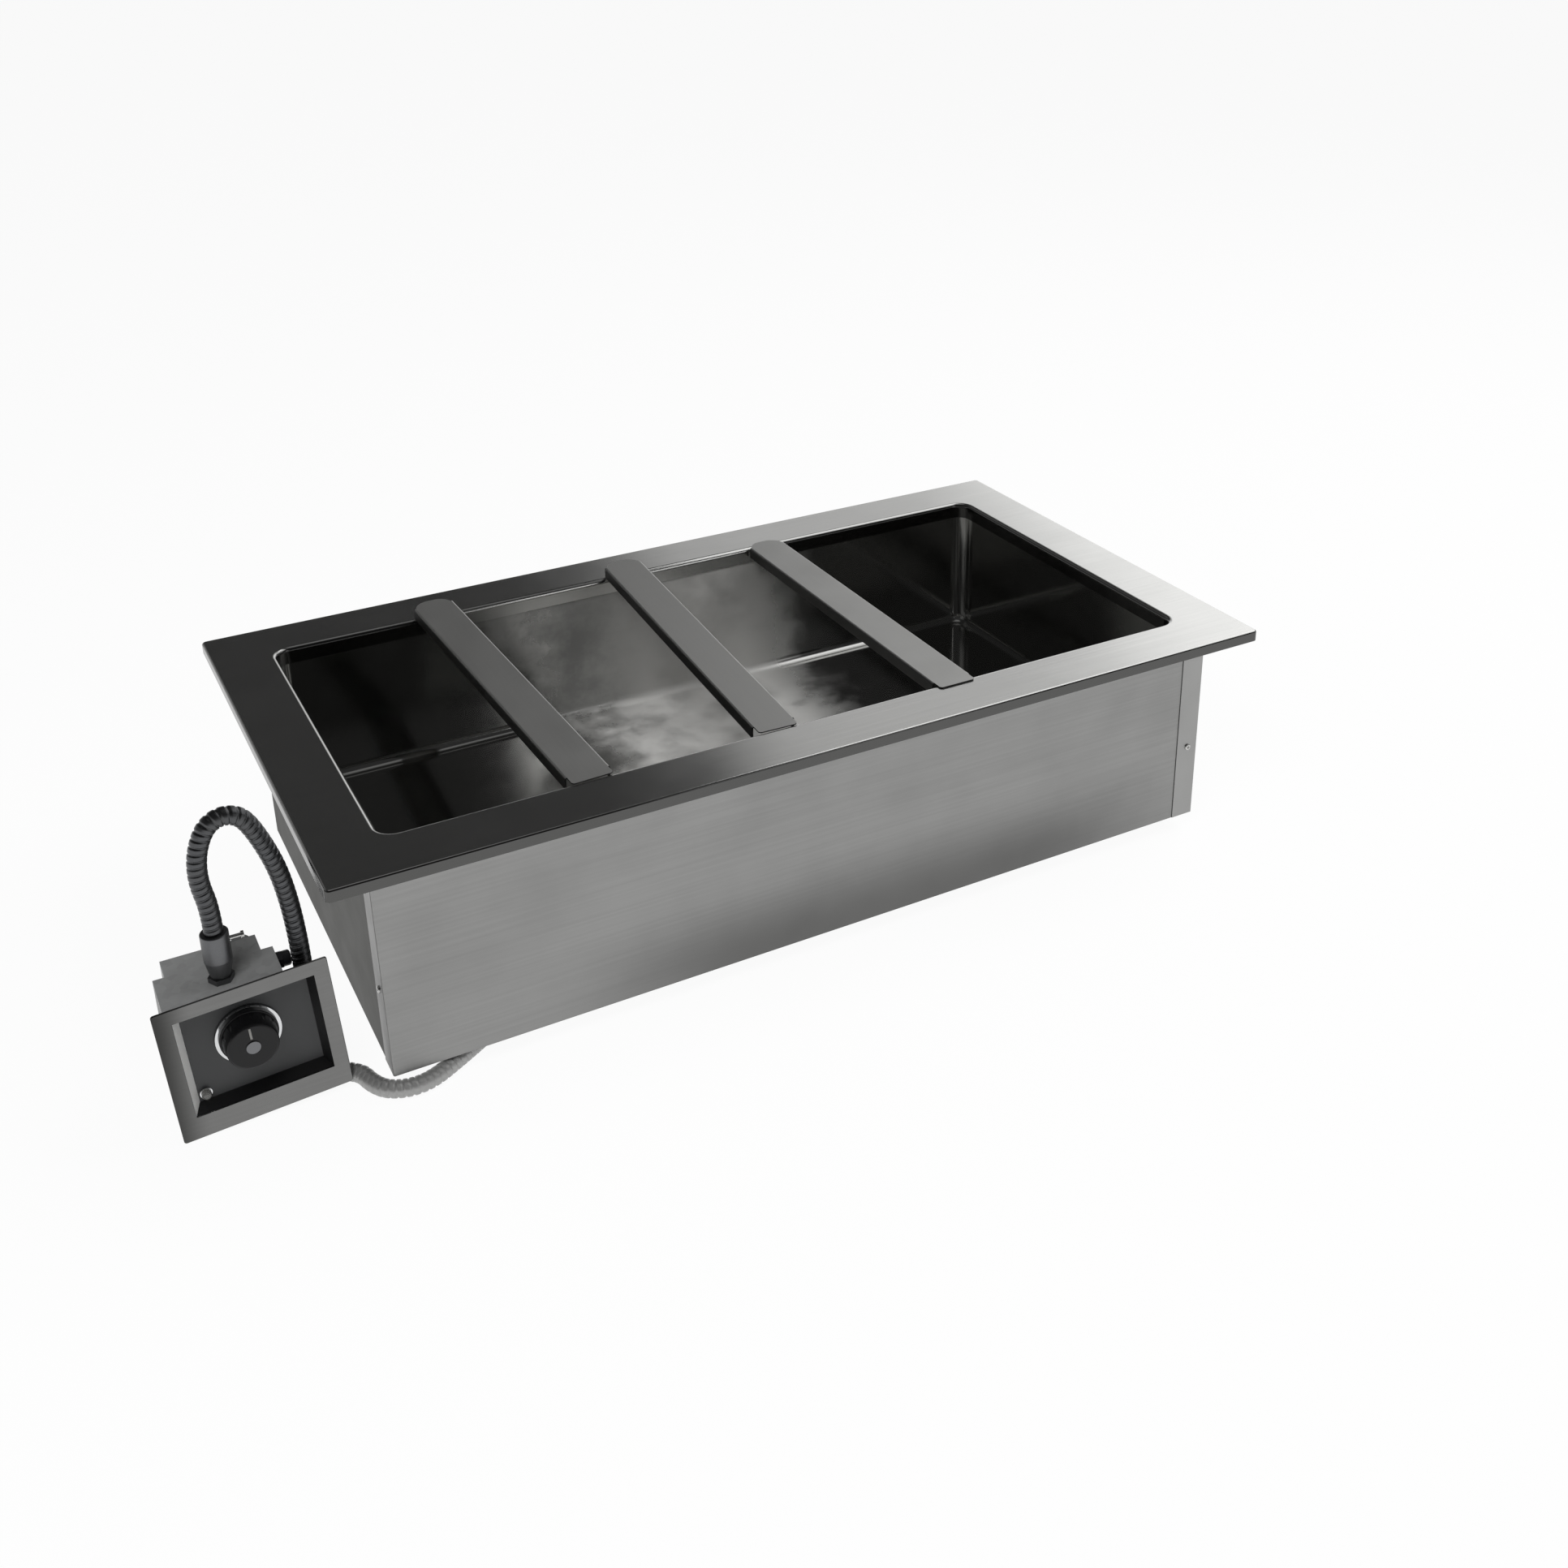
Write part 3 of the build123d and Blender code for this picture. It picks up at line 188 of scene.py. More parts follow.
@dataclass(frozen=True)
class BrushedSheet:
    """Metal sheet drawn through abrasive rollers: fine parallel scratches that smear what it mirrors.

    Real scratches are about 0.05 mm wide. They are drawn coarser here, so that they show at arm's length.
    """

    name: str
    colour: str
    roughness: float
    grain: Grain = Grain.ALONG_LENGTH
    scratch_mm: float = 3.2
    run_mm: float = 190.0
    depth_mm: float = 0.004
    tone: float = 0.06
    drift_mm: float = 260.0
    drift_share: float = 0.5
    smudge_mm: float = 85.0
    smudge: float = 0.05
    smear: float = 0.7
    edge: str = WHITE

    def body_colour(self, tree: Tree, place: Socket, colour: Socket) -> Socket:
        """Gives the sheet's colour as it is; a sheet with a second finish overrides this."""
        return colour

    def bare_share(self, tree: Tree, place: Socket) -> float | Socket:
        """How much of the sheet is bare metal; a sheet with a film on it overrides this."""
        return 1.0

    def blur(self, tree: Tree, place: Socket, roughness: Socket) -> Socket:
        """Gives the sheet's roughness as it is; a sheet with a film on it overrides this."""
        return roughness

    def material(self) -> bpy.types.Material:
        """Builds the material, with its scratches, its drift of tone, its smudges and its bump.

        Returns:
            The material.
        """
        material, tree = empty_material(self.name)
        place = add_node(tree, "ShaderNodeTexCoord").outputs["Object"]
        stretch = [per_metre(self.scratch_mm)] * 3
        stretch[self.grain.value] = per_metre(self.run_mm)
        along = add_node(tree, "ShaderNodeMapping", inputs={"Vector": place, "Scale": stretch})
        scratch = add_node(tree, "ShaderNodeTexNoise", inputs={
            "Vector": along.outputs[0], "Scale": 1.0, "Detail": 1.0, "Roughness": 0.5}).outputs["Fac"]
        smudge = add_node(tree, "ShaderNodeTexNoise", inputs={
            "Vector": place, "Scale": per_metre(self.smudge_mm), "Detail": 4.0,
            "Roughness": 0.55}).outputs["Fac"]
        drift = add_node(tree, "ShaderNodeTexNoise", inputs={
            "Vector": place, "Scale": per_metre(self.drift_mm), "Detail": 3.0}).outputs["Fac"]
        drift = add_node(tree, "ShaderNodeMath", {"operation": "MULTIPLY"}, {
            0: drift, 1: self.drift_share}).outputs[0]
        shade = add_node(tree, "ShaderNodeMath", {"operation": "MULTIPLY_ADD"}, {
            0: scratch, 1: 1 - self.drift_share, 2: drift})
        tint = add_node(tree, "ShaderNodeMix", COLOURS, {
            0: shade.outputs[0], MIX_FROM: linear(self.colour, 1 - self.tone),
            MIX_TO: linear(self.colour, 1 + self.tone)})
        haze = add_node(tree, "ShaderNodeMapRange", inputs={
            "Value": smudge, "From Min": NOISE_LOW, "From Max": NOISE_HIGH,
            "To Min": self.roughness - self.smudge, "To Max": self.roughness + self.smudge})
        bump = add_node(tree, "ShaderNodeBump", inputs={
            "Strength": 1.0, "Distance": self.depth_mm * MM, "Height": scratch})
        line = [OFF_AXIS] * 3
        line[self.grain.value] = 1.0
        grain = add_node(tree, "ShaderNodeCombineXYZ", inputs={0: line[0], 1: line[1], 2: line[2]})
        close_surface(tree, add_node(tree, "ShaderNodeBsdfPrincipled", inputs={
            "Metallic": self.bare_share(tree, place),
            "Base Color": self.body_colour(tree, place, tint.outputs[MIXED]),
            "Roughness": self.blur(tree, place, haze.outputs[0]),
            "Specular Tint": linear(self.edge), "Anisotropic": self.smear,
            "Anisotropic Rotation": ACROSS_GRAIN, "Tangent": grain.outputs[0],
            "Normal": bump.outputs[0]}))
        return material


@dataclass(frozen=True)
class FootShadedSheet(BrushedSheet):
    """Rolled sheet with painted shade, a darker colour, along the middle of its foot.

    Its heights, and the spans that the painted shade fades in and out over, are in metres of the part's
    frame.
    """

    foot_shade_colour: str = "#6a6a69"
    foot_shade_top: float = -0.14
    foot_shade_low: float = -0.25
    foot_shade_start: Pair = (-0.42, -0.1)
    foot_shade_end: Pair = (0.25, 0.6)

    def body_colour(self, tree: Tree, place: Socket, colour: Socket) -> Socket:
        """Mixes painted shade into the colour low on the sheet, between its ends.

        Args:
            tree: the material's node tree.
            place: the point on the sheet.
            colour: the rolled colour.

        Returns:
            The colour with the painted shade in it.
        """
        ways = add_node(tree, "ShaderNodeSeparateXYZ", inputs={0: place}).outputs
        share = add_node(tree, "ShaderNodeMapRange", SMOOTH, {
            "Value": ways["Z"], "From Min": self.foot_shade_low, "From Max": self.foot_shade_top,
            "To Min": 1.0, "To Max": 0.0}).outputs[0]
        for span, ends in ((self.foot_shade_start, (0.0, 1.0)), (self.foot_shade_end, (1.0, 0.0))):
            fade = add_node(tree, "ShaderNodeMapRange", SMOOTH, {
                "Value": ways["X"], "From Min": span[0], "From Max": span[1],
                "To Min": ends[0], "To Max": ends[1]})
            share = add_node(tree, "ShaderNodeMath", {"operation": "MULTIPLY"}, {
                0: share, 1: fade.outputs[0]}).outputs[0]
        # Painted shade: a darker colour low on the sheet, between its ends.
        return add_node(tree, "ShaderNodeMix", COLOURS, {
            0: share, MIX_FROM: colour, MIX_TO: linear(self.foot_shade_colour)}).outputs[MIXED]


@dataclass(frozen=True)
class SideShadedSheet(BrushedSheet):
    """Brushed sheet with painted shade: dark at its left side, going over to its own colour towards the
    right.
    """

    side_shade_colour: str = "#424241"
    side_shade_to: float = 0.0
    unshaded_from: float = 1.0

    def body_colour(self, tree: Tree, place: Socket, colour: Socket) -> Socket:
        """Mixes from painted shade at the left to the sheet's own colour at the right.

        Args:
            tree: the material's node tree.
            place: the point on the sheet.
            colour: the sheet's own colour.

        Returns:
            The colour with the dull side in it.
        """
        across = add_node(tree, "ShaderNodeSeparateXYZ", inputs={0: place}).outputs["X"]
        bright = add_node(tree, "ShaderNodeMapRange", SMOOTH, {
            "Value": across, "From Min": self.side_shade_to, "From Max": self.unshaded_from})
        # Painted shade at the left, fading out towards the right.
        return add_node(tree, "ShaderNodeMix", COLOURS, {
            0: bright.outputs[0], MIX_FROM: linear(self.side_shade_colour), MIX_TO: colour}).outputs[MIXED]


@dataclass(frozen=True)
class FoldShadedSheet(BrushedSheet):
    """Brushed sheet with painted shade, a dark colour, on its folded faces that don't lie level."""

    fold_shade_colour: str = "#4c4c4b"
    fold_from: float = 0.6
    flat_from: float = 0.9

    def fold_shade_share(self, tree: Tree, place: Socket) -> Socket:
        """Works out how much painted shade a face takes: none where it lies level.

        Args:
            tree: the material's node tree.
            place: the point on the sheet.

        Returns:
            The painted shade's share.
        """
        level = add_node(tree, "ShaderNodeMath", {"operation": "ABSOLUTE"}, {0: facing(tree, "Z")})
        return add_node(tree, "ShaderNodeMapRange", inputs={
            "Value": level.outputs[0], "From Min": self.fold_from, "From Max": self.flat_from,
            "To Min": 1.0, "To Max": 0.0}).outputs[0]

    def body_colour(self, tree: Tree, place: Socket, colour: Socket) -> Socket:
        """Mixes painted shade into the faces that don't lie level."""
        # Painted shade on every face that doesn't lie level: lips, flanges, skirts and ends.
        return add_node(tree, "ShaderNodeMix", COLOURS, {
            0: self.fold_shade_share(tree, place), MIX_FROM: colour,
            MIX_TO: linear(self.fold_shade_colour)}).outputs[MIXED]


@dataclass(frozen=True)
class SkirtLitSheet(FoldShadedSheet):
    """Folded sheet with painted light on its inner skirt behind the middle of the well, where the fold's
    painted shade is left off.

    The lit stretch is a box seen from above, in metres of the part's frame.
    """

    lit_skirt_middle: Pair = (-0.06, 0.25)
    lit_skirt_half: Pair = (0.241, 0.05)

    def fold_shade_share(self, tree: Tree, place: Socket) -> Socket:
        """Takes the painted shade off the lit stretch of the skirt, so that it shows painted light.

        Args:
            tree: the material's node tree.
            place: the point on the sheet.

        Returns:
            The share that the painted shade keeps.
        """
        share = super().fold_shade_share(tree, place)
        ways = add_node(tree, "ShaderNodeSeparateXYZ", inputs={0: place}).outputs
        inside = [add_node(tree, "ShaderNodeMath", {"operation": "COMPARE"}, {
            0: ways[i], 1: self.lit_skirt_middle[i], 2: self.lit_skirt_half[i]}).outputs[0] for i in range(2)]
        # Painted light: the lit stretch of the skirt keeps the bright sheet colour.
        lit_skirt = add_node(tree, "ShaderNodeMath", {"operation": "MULTIPLY"}, {0: inside[0], 1: inside[1]})
        kept = add_node(tree, "ShaderNodeMath", {"operation": "SUBTRACT"}, {0: 1.0, 1: lit_skirt.outputs[0]})
        return add_node(tree, "ShaderNodeMath", {"operation": "MULTIPLY"}, {
            0: share, 1: kept.outputs[0]}).outputs[0]


@dataclass(frozen=True)
class ShadedEndSheet(BrushedSheet):
    """Rolled sheet whose middle carries painted shade, a darker copy of the long panels' grey, and whose
    laps, which face front and back, are paler.
    """

    unshaded_lap_colour: str = "#a2a2a1"
    lap_from: float = 0.6
    lap_to: float = 0.9

    def body_colour(self, tree: Tree, place: Socket, colour: Socket) -> Socket:
        """Mixes the laps' paler colour into the faces that face front or back, out of the painted shade.

        Args:
            tree: the material's node tree.
            place: the point on the sheet.
            colour: the rolled colour, a darker grey of painted shade.

        Returns:
            The colour with the laps' in it.
        """
        turned = add_node(tree, "ShaderNodeMath", {"operation": "ABSOLUTE"}, {0: facing(tree, "Y")})
        unshaded_lap = add_node(tree, "ShaderNodeMapRange", inputs={
            "Value": turned.outputs[0], "From Min": self.lap_from, "From Max": self.lap_to})
        # The laps take a paler colour; the faces that don't face front or back keep the painted shade.
        return add_node(tree, "ShaderNodeMix", COLOURS, {
            0: unshaded_lap.outputs[0], MIX_FROM: colour, MIX_TO: linear(self.unshaded_lap_colour)}).outputs[MIXED]


@dataclass(frozen=True)
class LitFilmSheet(BrushedSheet):
    """Brushed sheet with a pale film of painted light over its middle, thin and broken at its ends, which
    also blurs it and makes it less metallic.

    On the walls the film is a thinner veil, and towards the left it is a dark grey of painted shade. Its
    start, its end and its blend are in metres of the part's frame, and the lean is how far the start moves
    with height.
    """

    lit_film_colour: str = "#d8d7d4"
    film_share: float = 0.72
    film_start: float = -0.2
    film_lean: float = 0.4
    film_end: float = 0.19
    film_blend: float = 0.07
    film_patch_mm: float = 55.0
    film_stray: float = 0.08
    film_thin_at: float = 0.3
    film_thick_at: float = 0.6
    film_thinnest: float = 0.45
    film_on_walls: float = 0.8
    film_blur: float = 0.8
    veil_shade_colour: str = "#5a5a58"
    veil_shade_end: Pair = (-0.12, 0.06)

    def film(self, tree: Tree, place: Socket) -> Socket:
        """Works out how thick the film of painted light is.

        Args:
            tree: the material's node tree.
            place: the point on the sheet.

        Returns:
            The film's share of the surface.
        """
        ways = add_node(tree, "ShaderNodeSeparateXYZ", inputs={0: place}).outputs
        patch = add_node(tree, "ShaderNodeTexNoise", inputs={
            "Vector": place, "Scale": per_metre(self.film_patch_mm), "Detail": 4.0,
            "Roughness": 0.6}).outputs["Fac"]
        stray = add_node(tree, "ShaderNodeMapRange", inputs={
            "Value": patch, "To Min": -self.film_stray, "To Max": self.film_stray})
        across = add_node(tree, "ShaderNodeMath", {"operation": "ADD"}, {
            0: ways["X"], 1: stray.outputs[0]}).outputs[0]
        leant = add_node(tree, "ShaderNodeMath", {"operation": "MULTIPLY_ADD"}, {
            0: ways["Z"], 1: self.film_lean, 2: across})
        starts = add_node(tree, "ShaderNodeMapRange", SMOOTH, {
            "Value": leant.outputs[0], "From Min": self.film_start - self.film_blend,
            "From Max": self.film_start + self.film_blend})
        ends = add_node(tree, "ShaderNodeMapRange", SMOOTH, {
            "Value": across, "From Min": self.film_end - self.film_blend,
            "From Max": self.film_end + self.film_blend, "To Min": self.film_share, "To Max": 0.0})
        thick = add_node(tree, "ShaderNodeMapRange", inputs={
            "Value": patch, "From Min": self.film_thin_at, "From Max": self.film_thick_at,
            "To Min": self.film_thinnest, "To Max": 1.0})
        # Less of the film and its painted light lies on the walls than on the floor.
        settled = add_node(tree, "ShaderNodeMapRange", inputs={
            "Value": facing(tree, "Z"), "To Min": self.film_on_walls, "To Max": 1.0})
        share = starts.outputs[0]
        for part in (ends, thick, settled):
            share = add_node(tree, "ShaderNodeMath", {"operation": "MULTIPLY"}, {
                0: share, 1: part.outputs[0]}).outputs[0]
        return share

    def body_colour(self, tree: Tree, place: Socket, colour: Socket) -> Socket:
        """Mixes in the film's pale colour of painted light where it lies, and the veil's painted shade on
        the walls at the left.

        Args:
            tree: the material's node tree.
            place: the point on the sheet.
            colour: the bare sheet's colour.

        Returns:
            The colour with the film's painted light and shade in it.
        """
        across = add_node(tree, "ShaderNodeSeparateXYZ", inputs={0: place}).outputs["X"]
        clear = add_node(tree, "ShaderNodeMapRange", SMOOTH, {
            "Value": across, "From Min": self.veil_shade_end[0], "From Max": self.veil_shade_end[1]})
        pale = add_node(tree, "ShaderNodeMath", {"operation": "MAXIMUM"}, {
            0: clear.outputs[0], 1: facing(tree, "Z")})
        # Painted light in the film's pale colour, and painted shade in the veil on the walls at the left.
        film = add_node(tree, "ShaderNodeMix", COLOURS, {
            0: pale.outputs[0], MIX_FROM: linear(self.veil_shade_colour), MIX_TO: linear(self.lit_film_colour)})
        return add_node(tree, "ShaderNodeMix", COLOURS, {
            0: self.film(tree, place), MIX_FROM: colour, MIX_TO: film.outputs[MIXED]}).outputs[MIXED]

    def bare_share(self, tree: Tree, place: Socket) -> float | Socket:
        """What the film leaves bare."""
        return add_node(tree, "ShaderNodeMath", {"operation": "SUBTRACT"}, {
            0: 1.0, 1: self.film(tree, place)}).outputs[0]

    def blur(self, tree: Tree, place: Socket, roughness: Socket) -> Socket:
        """Adds what the film blurs."""
        return add_node(tree, "ShaderNodeMath", {"operation": "MULTIPLY_ADD"}, {
            0: self.film(tree, place), 1: self.film_blur, 2: roughness}).outputs[0]


@dataclass(frozen=True)
class CoatedSteel:
    """Zinc-dipped, cast or plated metal: a soft grey sheen broken into cells or grit."""

    name: str
    colour: str
    roughness: float
    cell: Cell = Cell.SPANGLE
    cell_mm: float = 9.0
    contrast: float = 0.10
    depth_mm: float = 0.01
    stain: str = "#6e6c66"
    stain_mm: float = 60.0
    stain_share: float = 0.18
    stain_from: float = 0.45
    stain_full: float = 0.75
    # What the roughness gains from a clean patch to a stained one.
    haze: Pair = (-0.06, 0.08)
    metallic: float = 1.0

    def body_colour(self, tree: Tree, place: Socket, colour: Socket) -> Socket:
        """Gives the metal's colour as it is; a finish with a second colour overrides this."""
        return colour

    def bare_share(self, tree: Tree, place: Socket) -> float | Socket:
        """How much of the surface is bare metal; a finish with dust on it overrides this."""
        return self.metallic

    def material(self) -> bpy.types.Material:
        """Builds the material, with its cells, its dull patches and its bump.

        Returns:
            The material.
        """
        material, tree = empty_material(self.name)
        place = add_node(tree, "ShaderNodeTexCoord").outputs["Object"]
        cells = add_node(tree, "ShaderNodeTexVoronoi", {"feature": self.cell.value}, {
            "Vector": place, "Scale": per_metre(self.cell_mm)})
        cell = cells.outputs["Color"] if self.cell is Cell.SPANGLE else cells.outputs["Distance"]
        patch = add_node(tree, "ShaderNodeTexNoise", inputs={
            "Vector": place, "Scale": per_metre(self.stain_mm), "Detail": 5.0,
            "Roughness": 0.6}).outputs["Fac"]
        tint = add_node(tree, "ShaderNodeMix", COLOURS, {
            0: cell, MIX_FROM: linear(self.colour, 1 - self.contrast),
            MIX_TO: linear(self.colour, 1 + self.contrast)})
        dull = add_node(tree, "ShaderNodeMapRange", inputs={
            "Value": patch, "From Min": self.stain_from, "From Max": self.stain_full, "To Min": 0.0,
            "To Max": self.stain_share})
        stained = add_node(tree, "ShaderNodeMix", COLOURS, {
            0: dull.outputs[0], MIX_FROM: tint.outputs[MIXED], MIX_TO: linear(self.stain)})
        rough = add_node(tree, "ShaderNodeMapRange", inputs={
            "Value": patch, "From Min": NOISE_LOW, "From Max": NOISE_HIGH,
            "To Min": self.roughness + self.haze[0], "To Max": self.roughness + self.haze[1]})
        bump = add_node(tree, "ShaderNodeBump", inputs={
            "Strength": 1.0, "Distance": self.depth_mm * MM, "Height": cell})
        close_surface(tree, add_node(tree, "ShaderNodeBsdfPrincipled", inputs={
            "Metallic": self.bare_share(tree, place),
            "Base Color": self.body_colour(tree, place, stained.outputs[MIXED]),
            "Roughness": rough.outputs[0], "Normal": bump.outputs[0]}))
        return material


@dataclass(frozen=True)
class FloorLitStrip(CoatedSteel):
    """Zinc-coated strip with painted light near the floor: a pale colour there, which is also less
    metallic.

    The painted light's top and its blend are in metres of the part's frame.
    """

    floor_light_colour: str = "#a6a6a5"
    floor_light_top: float = -0.255
    floor_light_blend: float = 0.02
    floor_lit_metal: float = 0.5

    def above_floor_light(self, tree: Tree, place: Socket, least: float) -> Socket:
        """Works out how far the strip is out of its painted light.

        Args:
            tree: the material's node tree.
            place: the point on the strip.
            least: the share near the floor.

        Returns:
            From the least near the floor to 1 above the painted light.
        """
        up = add_node(tree, "ShaderNodeSeparateXYZ", inputs={0: place}).outputs["Z"]
        return add_node(tree, "ShaderNodeMapRange", SMOOTH, {
            "Value": up, "From Min": self.floor_light_top - self.floor_light_blend,
            "From Max": self.floor_light_top + self.floor_light_blend, "To Min": least}).outputs[0]

    def body_colour(self, tree: Tree, place: Socket, colour: Socket) -> Socket:
        """Mixes in the painted light's pale colour near the floor."""
        # Painted light: a pale colour low on the strip, near the floor.
        return add_node(tree, "ShaderNodeMix", COLOURS, {
            0: self.above_floor_light(tree, place, 0.0), MIX_FROM: linear(self.floor_light_colour),
            MIX_TO: colour}).outputs[MIXED]

    def bare_share(self, tree: Tree, place: Socket) -> float | Socket:
        """How metallic the strip stays under its painted light near the floor."""
        return self.above_floor_light(tree, place, self.floor_lit_metal)


@dataclass(frozen=True)
class TurnedMetal:
    """Metal turned on a lathe: fine rings round its axis that catch the light as two bright fans.

    Real tool marks are about 0.1 mm apart. They are drawn coarser here, so that they show.
    """

    name: str
    colour: str
    roughness: float
    centre: Triple
    axis: str = "Z"
    groove_mm: float = 0.7
    depth_mm: float = 0.006
    # The share of the colour's light, and what the roughness gains, from a groove to a crest.
    tone: Pair = (0.9, 1.04)
    haze: Pair = (0.05, -0.04)

    def material(self) -> bpy.types.Material:
        """Builds the material, with its tool rings about the axis.

        Returns:
            The material.
        """
        material, tree = empty_material(self.name)
        place = add_node(tree, "ShaderNodeTexCoord").outputs["Object"]
        shift = add_node(tree, "ShaderNodeMapping", inputs={
            "Vector": place, "Location": [-c for c in self.centre]})
        rings = add_node(tree, "ShaderNodeTexWave", {
            "wave_type": "RINGS", "rings_direction": self.axis}, {
            "Vector": shift.outputs[0], "Scale": per_metre(self.groove_mm) * RING_PERIOD,
            "Distortion": 0.4, "Detail": 2.0}).outputs["Fac"]
        tint = add_node(tree, "ShaderNodeMix", COLOURS, {
            0: rings, MIX_FROM: linear(self.colour, self.tone[0]),
            MIX_TO: linear(self.colour, self.tone[1])})
        rough = add_node(tree, "ShaderNodeMapRange", inputs={
            "Value": rings, "To Min": self.roughness + self.haze[0],
            "To Max": self.roughness + self.haze[1]})
        bump = add_node(tree, "ShaderNodeBump", inputs={
            "Strength": 1.0, "Distance": self.depth_mm * MM, "Height": rings})
        close_surface(tree, add_node(tree, "ShaderNodeBsdfPrincipled", inputs={
            "Metallic": 1.0, "Base Color": tint.outputs[MIXED], "Roughness": rough.outputs[0],
            "Normal": bump.outputs[0]}))
        return material


@dataclass(frozen=True)
class Moulding:
    """Moulded, painted, glazed or rubber surface: one body colour with a fine grit and faint wear."""

    name: str
    colour: str
    worn: str
    roughness: float
    grit_mm: float = 0.9
    depth_mm: float = 0.02
    wear_mm: float = 28.0
    wear_share: float = 0.25
    wear_from: float = 0.4
    wear_full: float = 0.8
    # What the roughness gains from a fresh patch to a worn one.
    haze: Pair = (-0.05, 0.07)
    ior: float = 1.5
    coat: float = 0.0

    def body_colour(self, tree: Tree, colour: Socket) -> Socket:
        """Gives the body colour as it is; a finish with a second colour overrides this."""
        return colour

    def material(self) -> bpy.types.Material:
        """Builds the material, with its grit, its wear and its bump.

        Returns:
            The material.
        """
        material, tree = empty_material(self.name)
        place = add_node(tree, "ShaderNodeTexCoord").outputs["Object"]
        grit = add_node(tree, "ShaderNodeTexNoise", inputs={
            "Vector": place, "Scale": per_metre(self.grit_mm), "Detail": 2.0}).outputs["Fac"]
        patch = add_node(tree, "ShaderNodeTexNoise", inputs={
            "Vector": place, "Scale": per_metre(self.wear_mm), "Detail": 5.0,
            "Roughness": 0.65}).outputs["Fac"]
        share = add_node(tree, "ShaderNodeMapRange", inputs={
            "Value": patch, "From Min": self.wear_from, "From Max": self.wear_full, "To Min": 0.0,
            "To Max": self.wear_share})
        tint = add_node(tree, "ShaderNodeMix", COLOURS, {
            0: share.outputs[0], MIX_FROM: linear(self.colour), MIX_TO: linear(self.worn)})
        rough = add_node(tree, "ShaderNodeMapRange", inputs={
            "Value": patch, "From Min": NOISE_LOW, "From Max": NOISE_HIGH,
            "To Min": self.roughness + self.haze[0], "To Max": self.roughness + self.haze[1]})
        bump = add_node(tree, "ShaderNodeBump", inputs={
            "Strength": 1.0, "Distance": self.depth_mm * MM, "Height": grit})
        close_surface(tree, add_node(tree, "ShaderNodeBsdfPrincipled", inputs={
            "Base Color": self.body_colour(tree, tint.outputs[MIXED]), "Roughness": rough.outputs[0],
            "IOR": self.ior, "Coat Weight": self.coat, "Normal": bump.outputs[0]}))
        return material


@dataclass(frozen=True)
class ShadedRecessPanel(Moulding):
    """Coated panel pressed into a tray: near-black painted shade on its walls, and painted light on the
    wall that faces right.
    """

    wall_shade_colour: str = "#0c0c0d"
    lit_wall_colour: str = "#f6f6f4"
    facing_from: float = 0.6
    facing_to: float = 0.75

    def body_colour(self, tree: Tree, colour: Socket) -> Socket:
        """Mixes painted shade into the tray's walls, and painted light into the one that faces right.

        Args:
            tree: the material's node tree.
            colour: the coat's colour.

        Returns:
            The colour with the walls' in it.
        """
        # Painted shade on the walls that don't face front, and painted light on the one that faces right.
        wall_shade = add_node(tree, "ShaderNodeMapRange", inputs={
            "Value": facing(tree, "Y"), "From Min": -self.facing_to, "From Max": -self.facing_from})
        lit_wall = add_node(tree, "ShaderNodeMapRange", inputs={
            "Value": facing(tree, "X"), "From Min": self.facing_from, "From Max": self.facing_to})
        for share, wall in ((wall_shade, self.wall_shade_colour), (lit_wall, self.lit_wall_colour)):
            colour = add_node(tree, "ShaderNodeMix", COLOURS, {
                0: share.outputs[0], MIX_FROM: colour, MIX_TO: linear(wall)}).outputs[MIXED]
        return colour


@dataclass(frozen=True)
class FibreMat:
    """Bonded mineral wool: matted fibres with tufts and darker binder streaks.

    Real fibres are a few thousandths of a millimetre thick. They are drawn here as strands that show.
    """

    name: str
    colour: str
    binder: str
    fibre_mm: float = 1.6
    fibre_run_mm: float = 22.0
    tuft_mm: float = 16.0
    depth_mm: float = 0.8
    roughness: float = 0.95
    sheen: float = 0.3

    def material(self) -> bpy.types.Material:
        """Builds the material, with its fibres, its tufts and its bump.

        Returns:
            The material.
        """
        material, tree = empty_material(self.name)
        place = add_node(tree, "ShaderNodeTexCoord").outputs["Object"]
        stretch = [per_metre(self.fibre_run_mm), per_metre(self.fibre_mm), per_metre(self.fibre_mm)]
        along = add_node(tree, "ShaderNodeMapping", inputs={"Vector": place, "Scale": stretch})
        fibre = add_node(tree, "ShaderNodeTexNoise", inputs={
            "Vector": along.outputs[0], "Scale": 1.0, "Detail": 4.0, "Distortion": 1.2}).outputs["Fac"]
        tuft = add_node(tree, "ShaderNodeTexNoise", inputs={
            "Vector": place, "Scale": per_metre(self.tuft_mm), "Detail": 4.0}).outputs["Fac"]
        height = add_node(tree, "ShaderNodeMath", {"operation": "MULTIPLY"}, {0: fibre, 1: tuft}).outputs[0]
        tint = add_node(tree, "ShaderNodeMix", COLOURS, {
            0: height, MIX_FROM: linear(self.binder), MIX_TO: linear(self.colour)})
        bump = add_node(tree, "ShaderNodeBump", inputs={
            "Strength": 1.0, "Distance": self.depth_mm * MM, "Height": height})
        close_surface(tree, add_node(tree, "ShaderNodeBsdfPrincipled", inputs={
            "Base Color": tint.outputs[MIXED], "Roughness": self.roughness, "Sheen Weight": self.sheen,
            "Normal": bump.outputs[0]}))
        return material


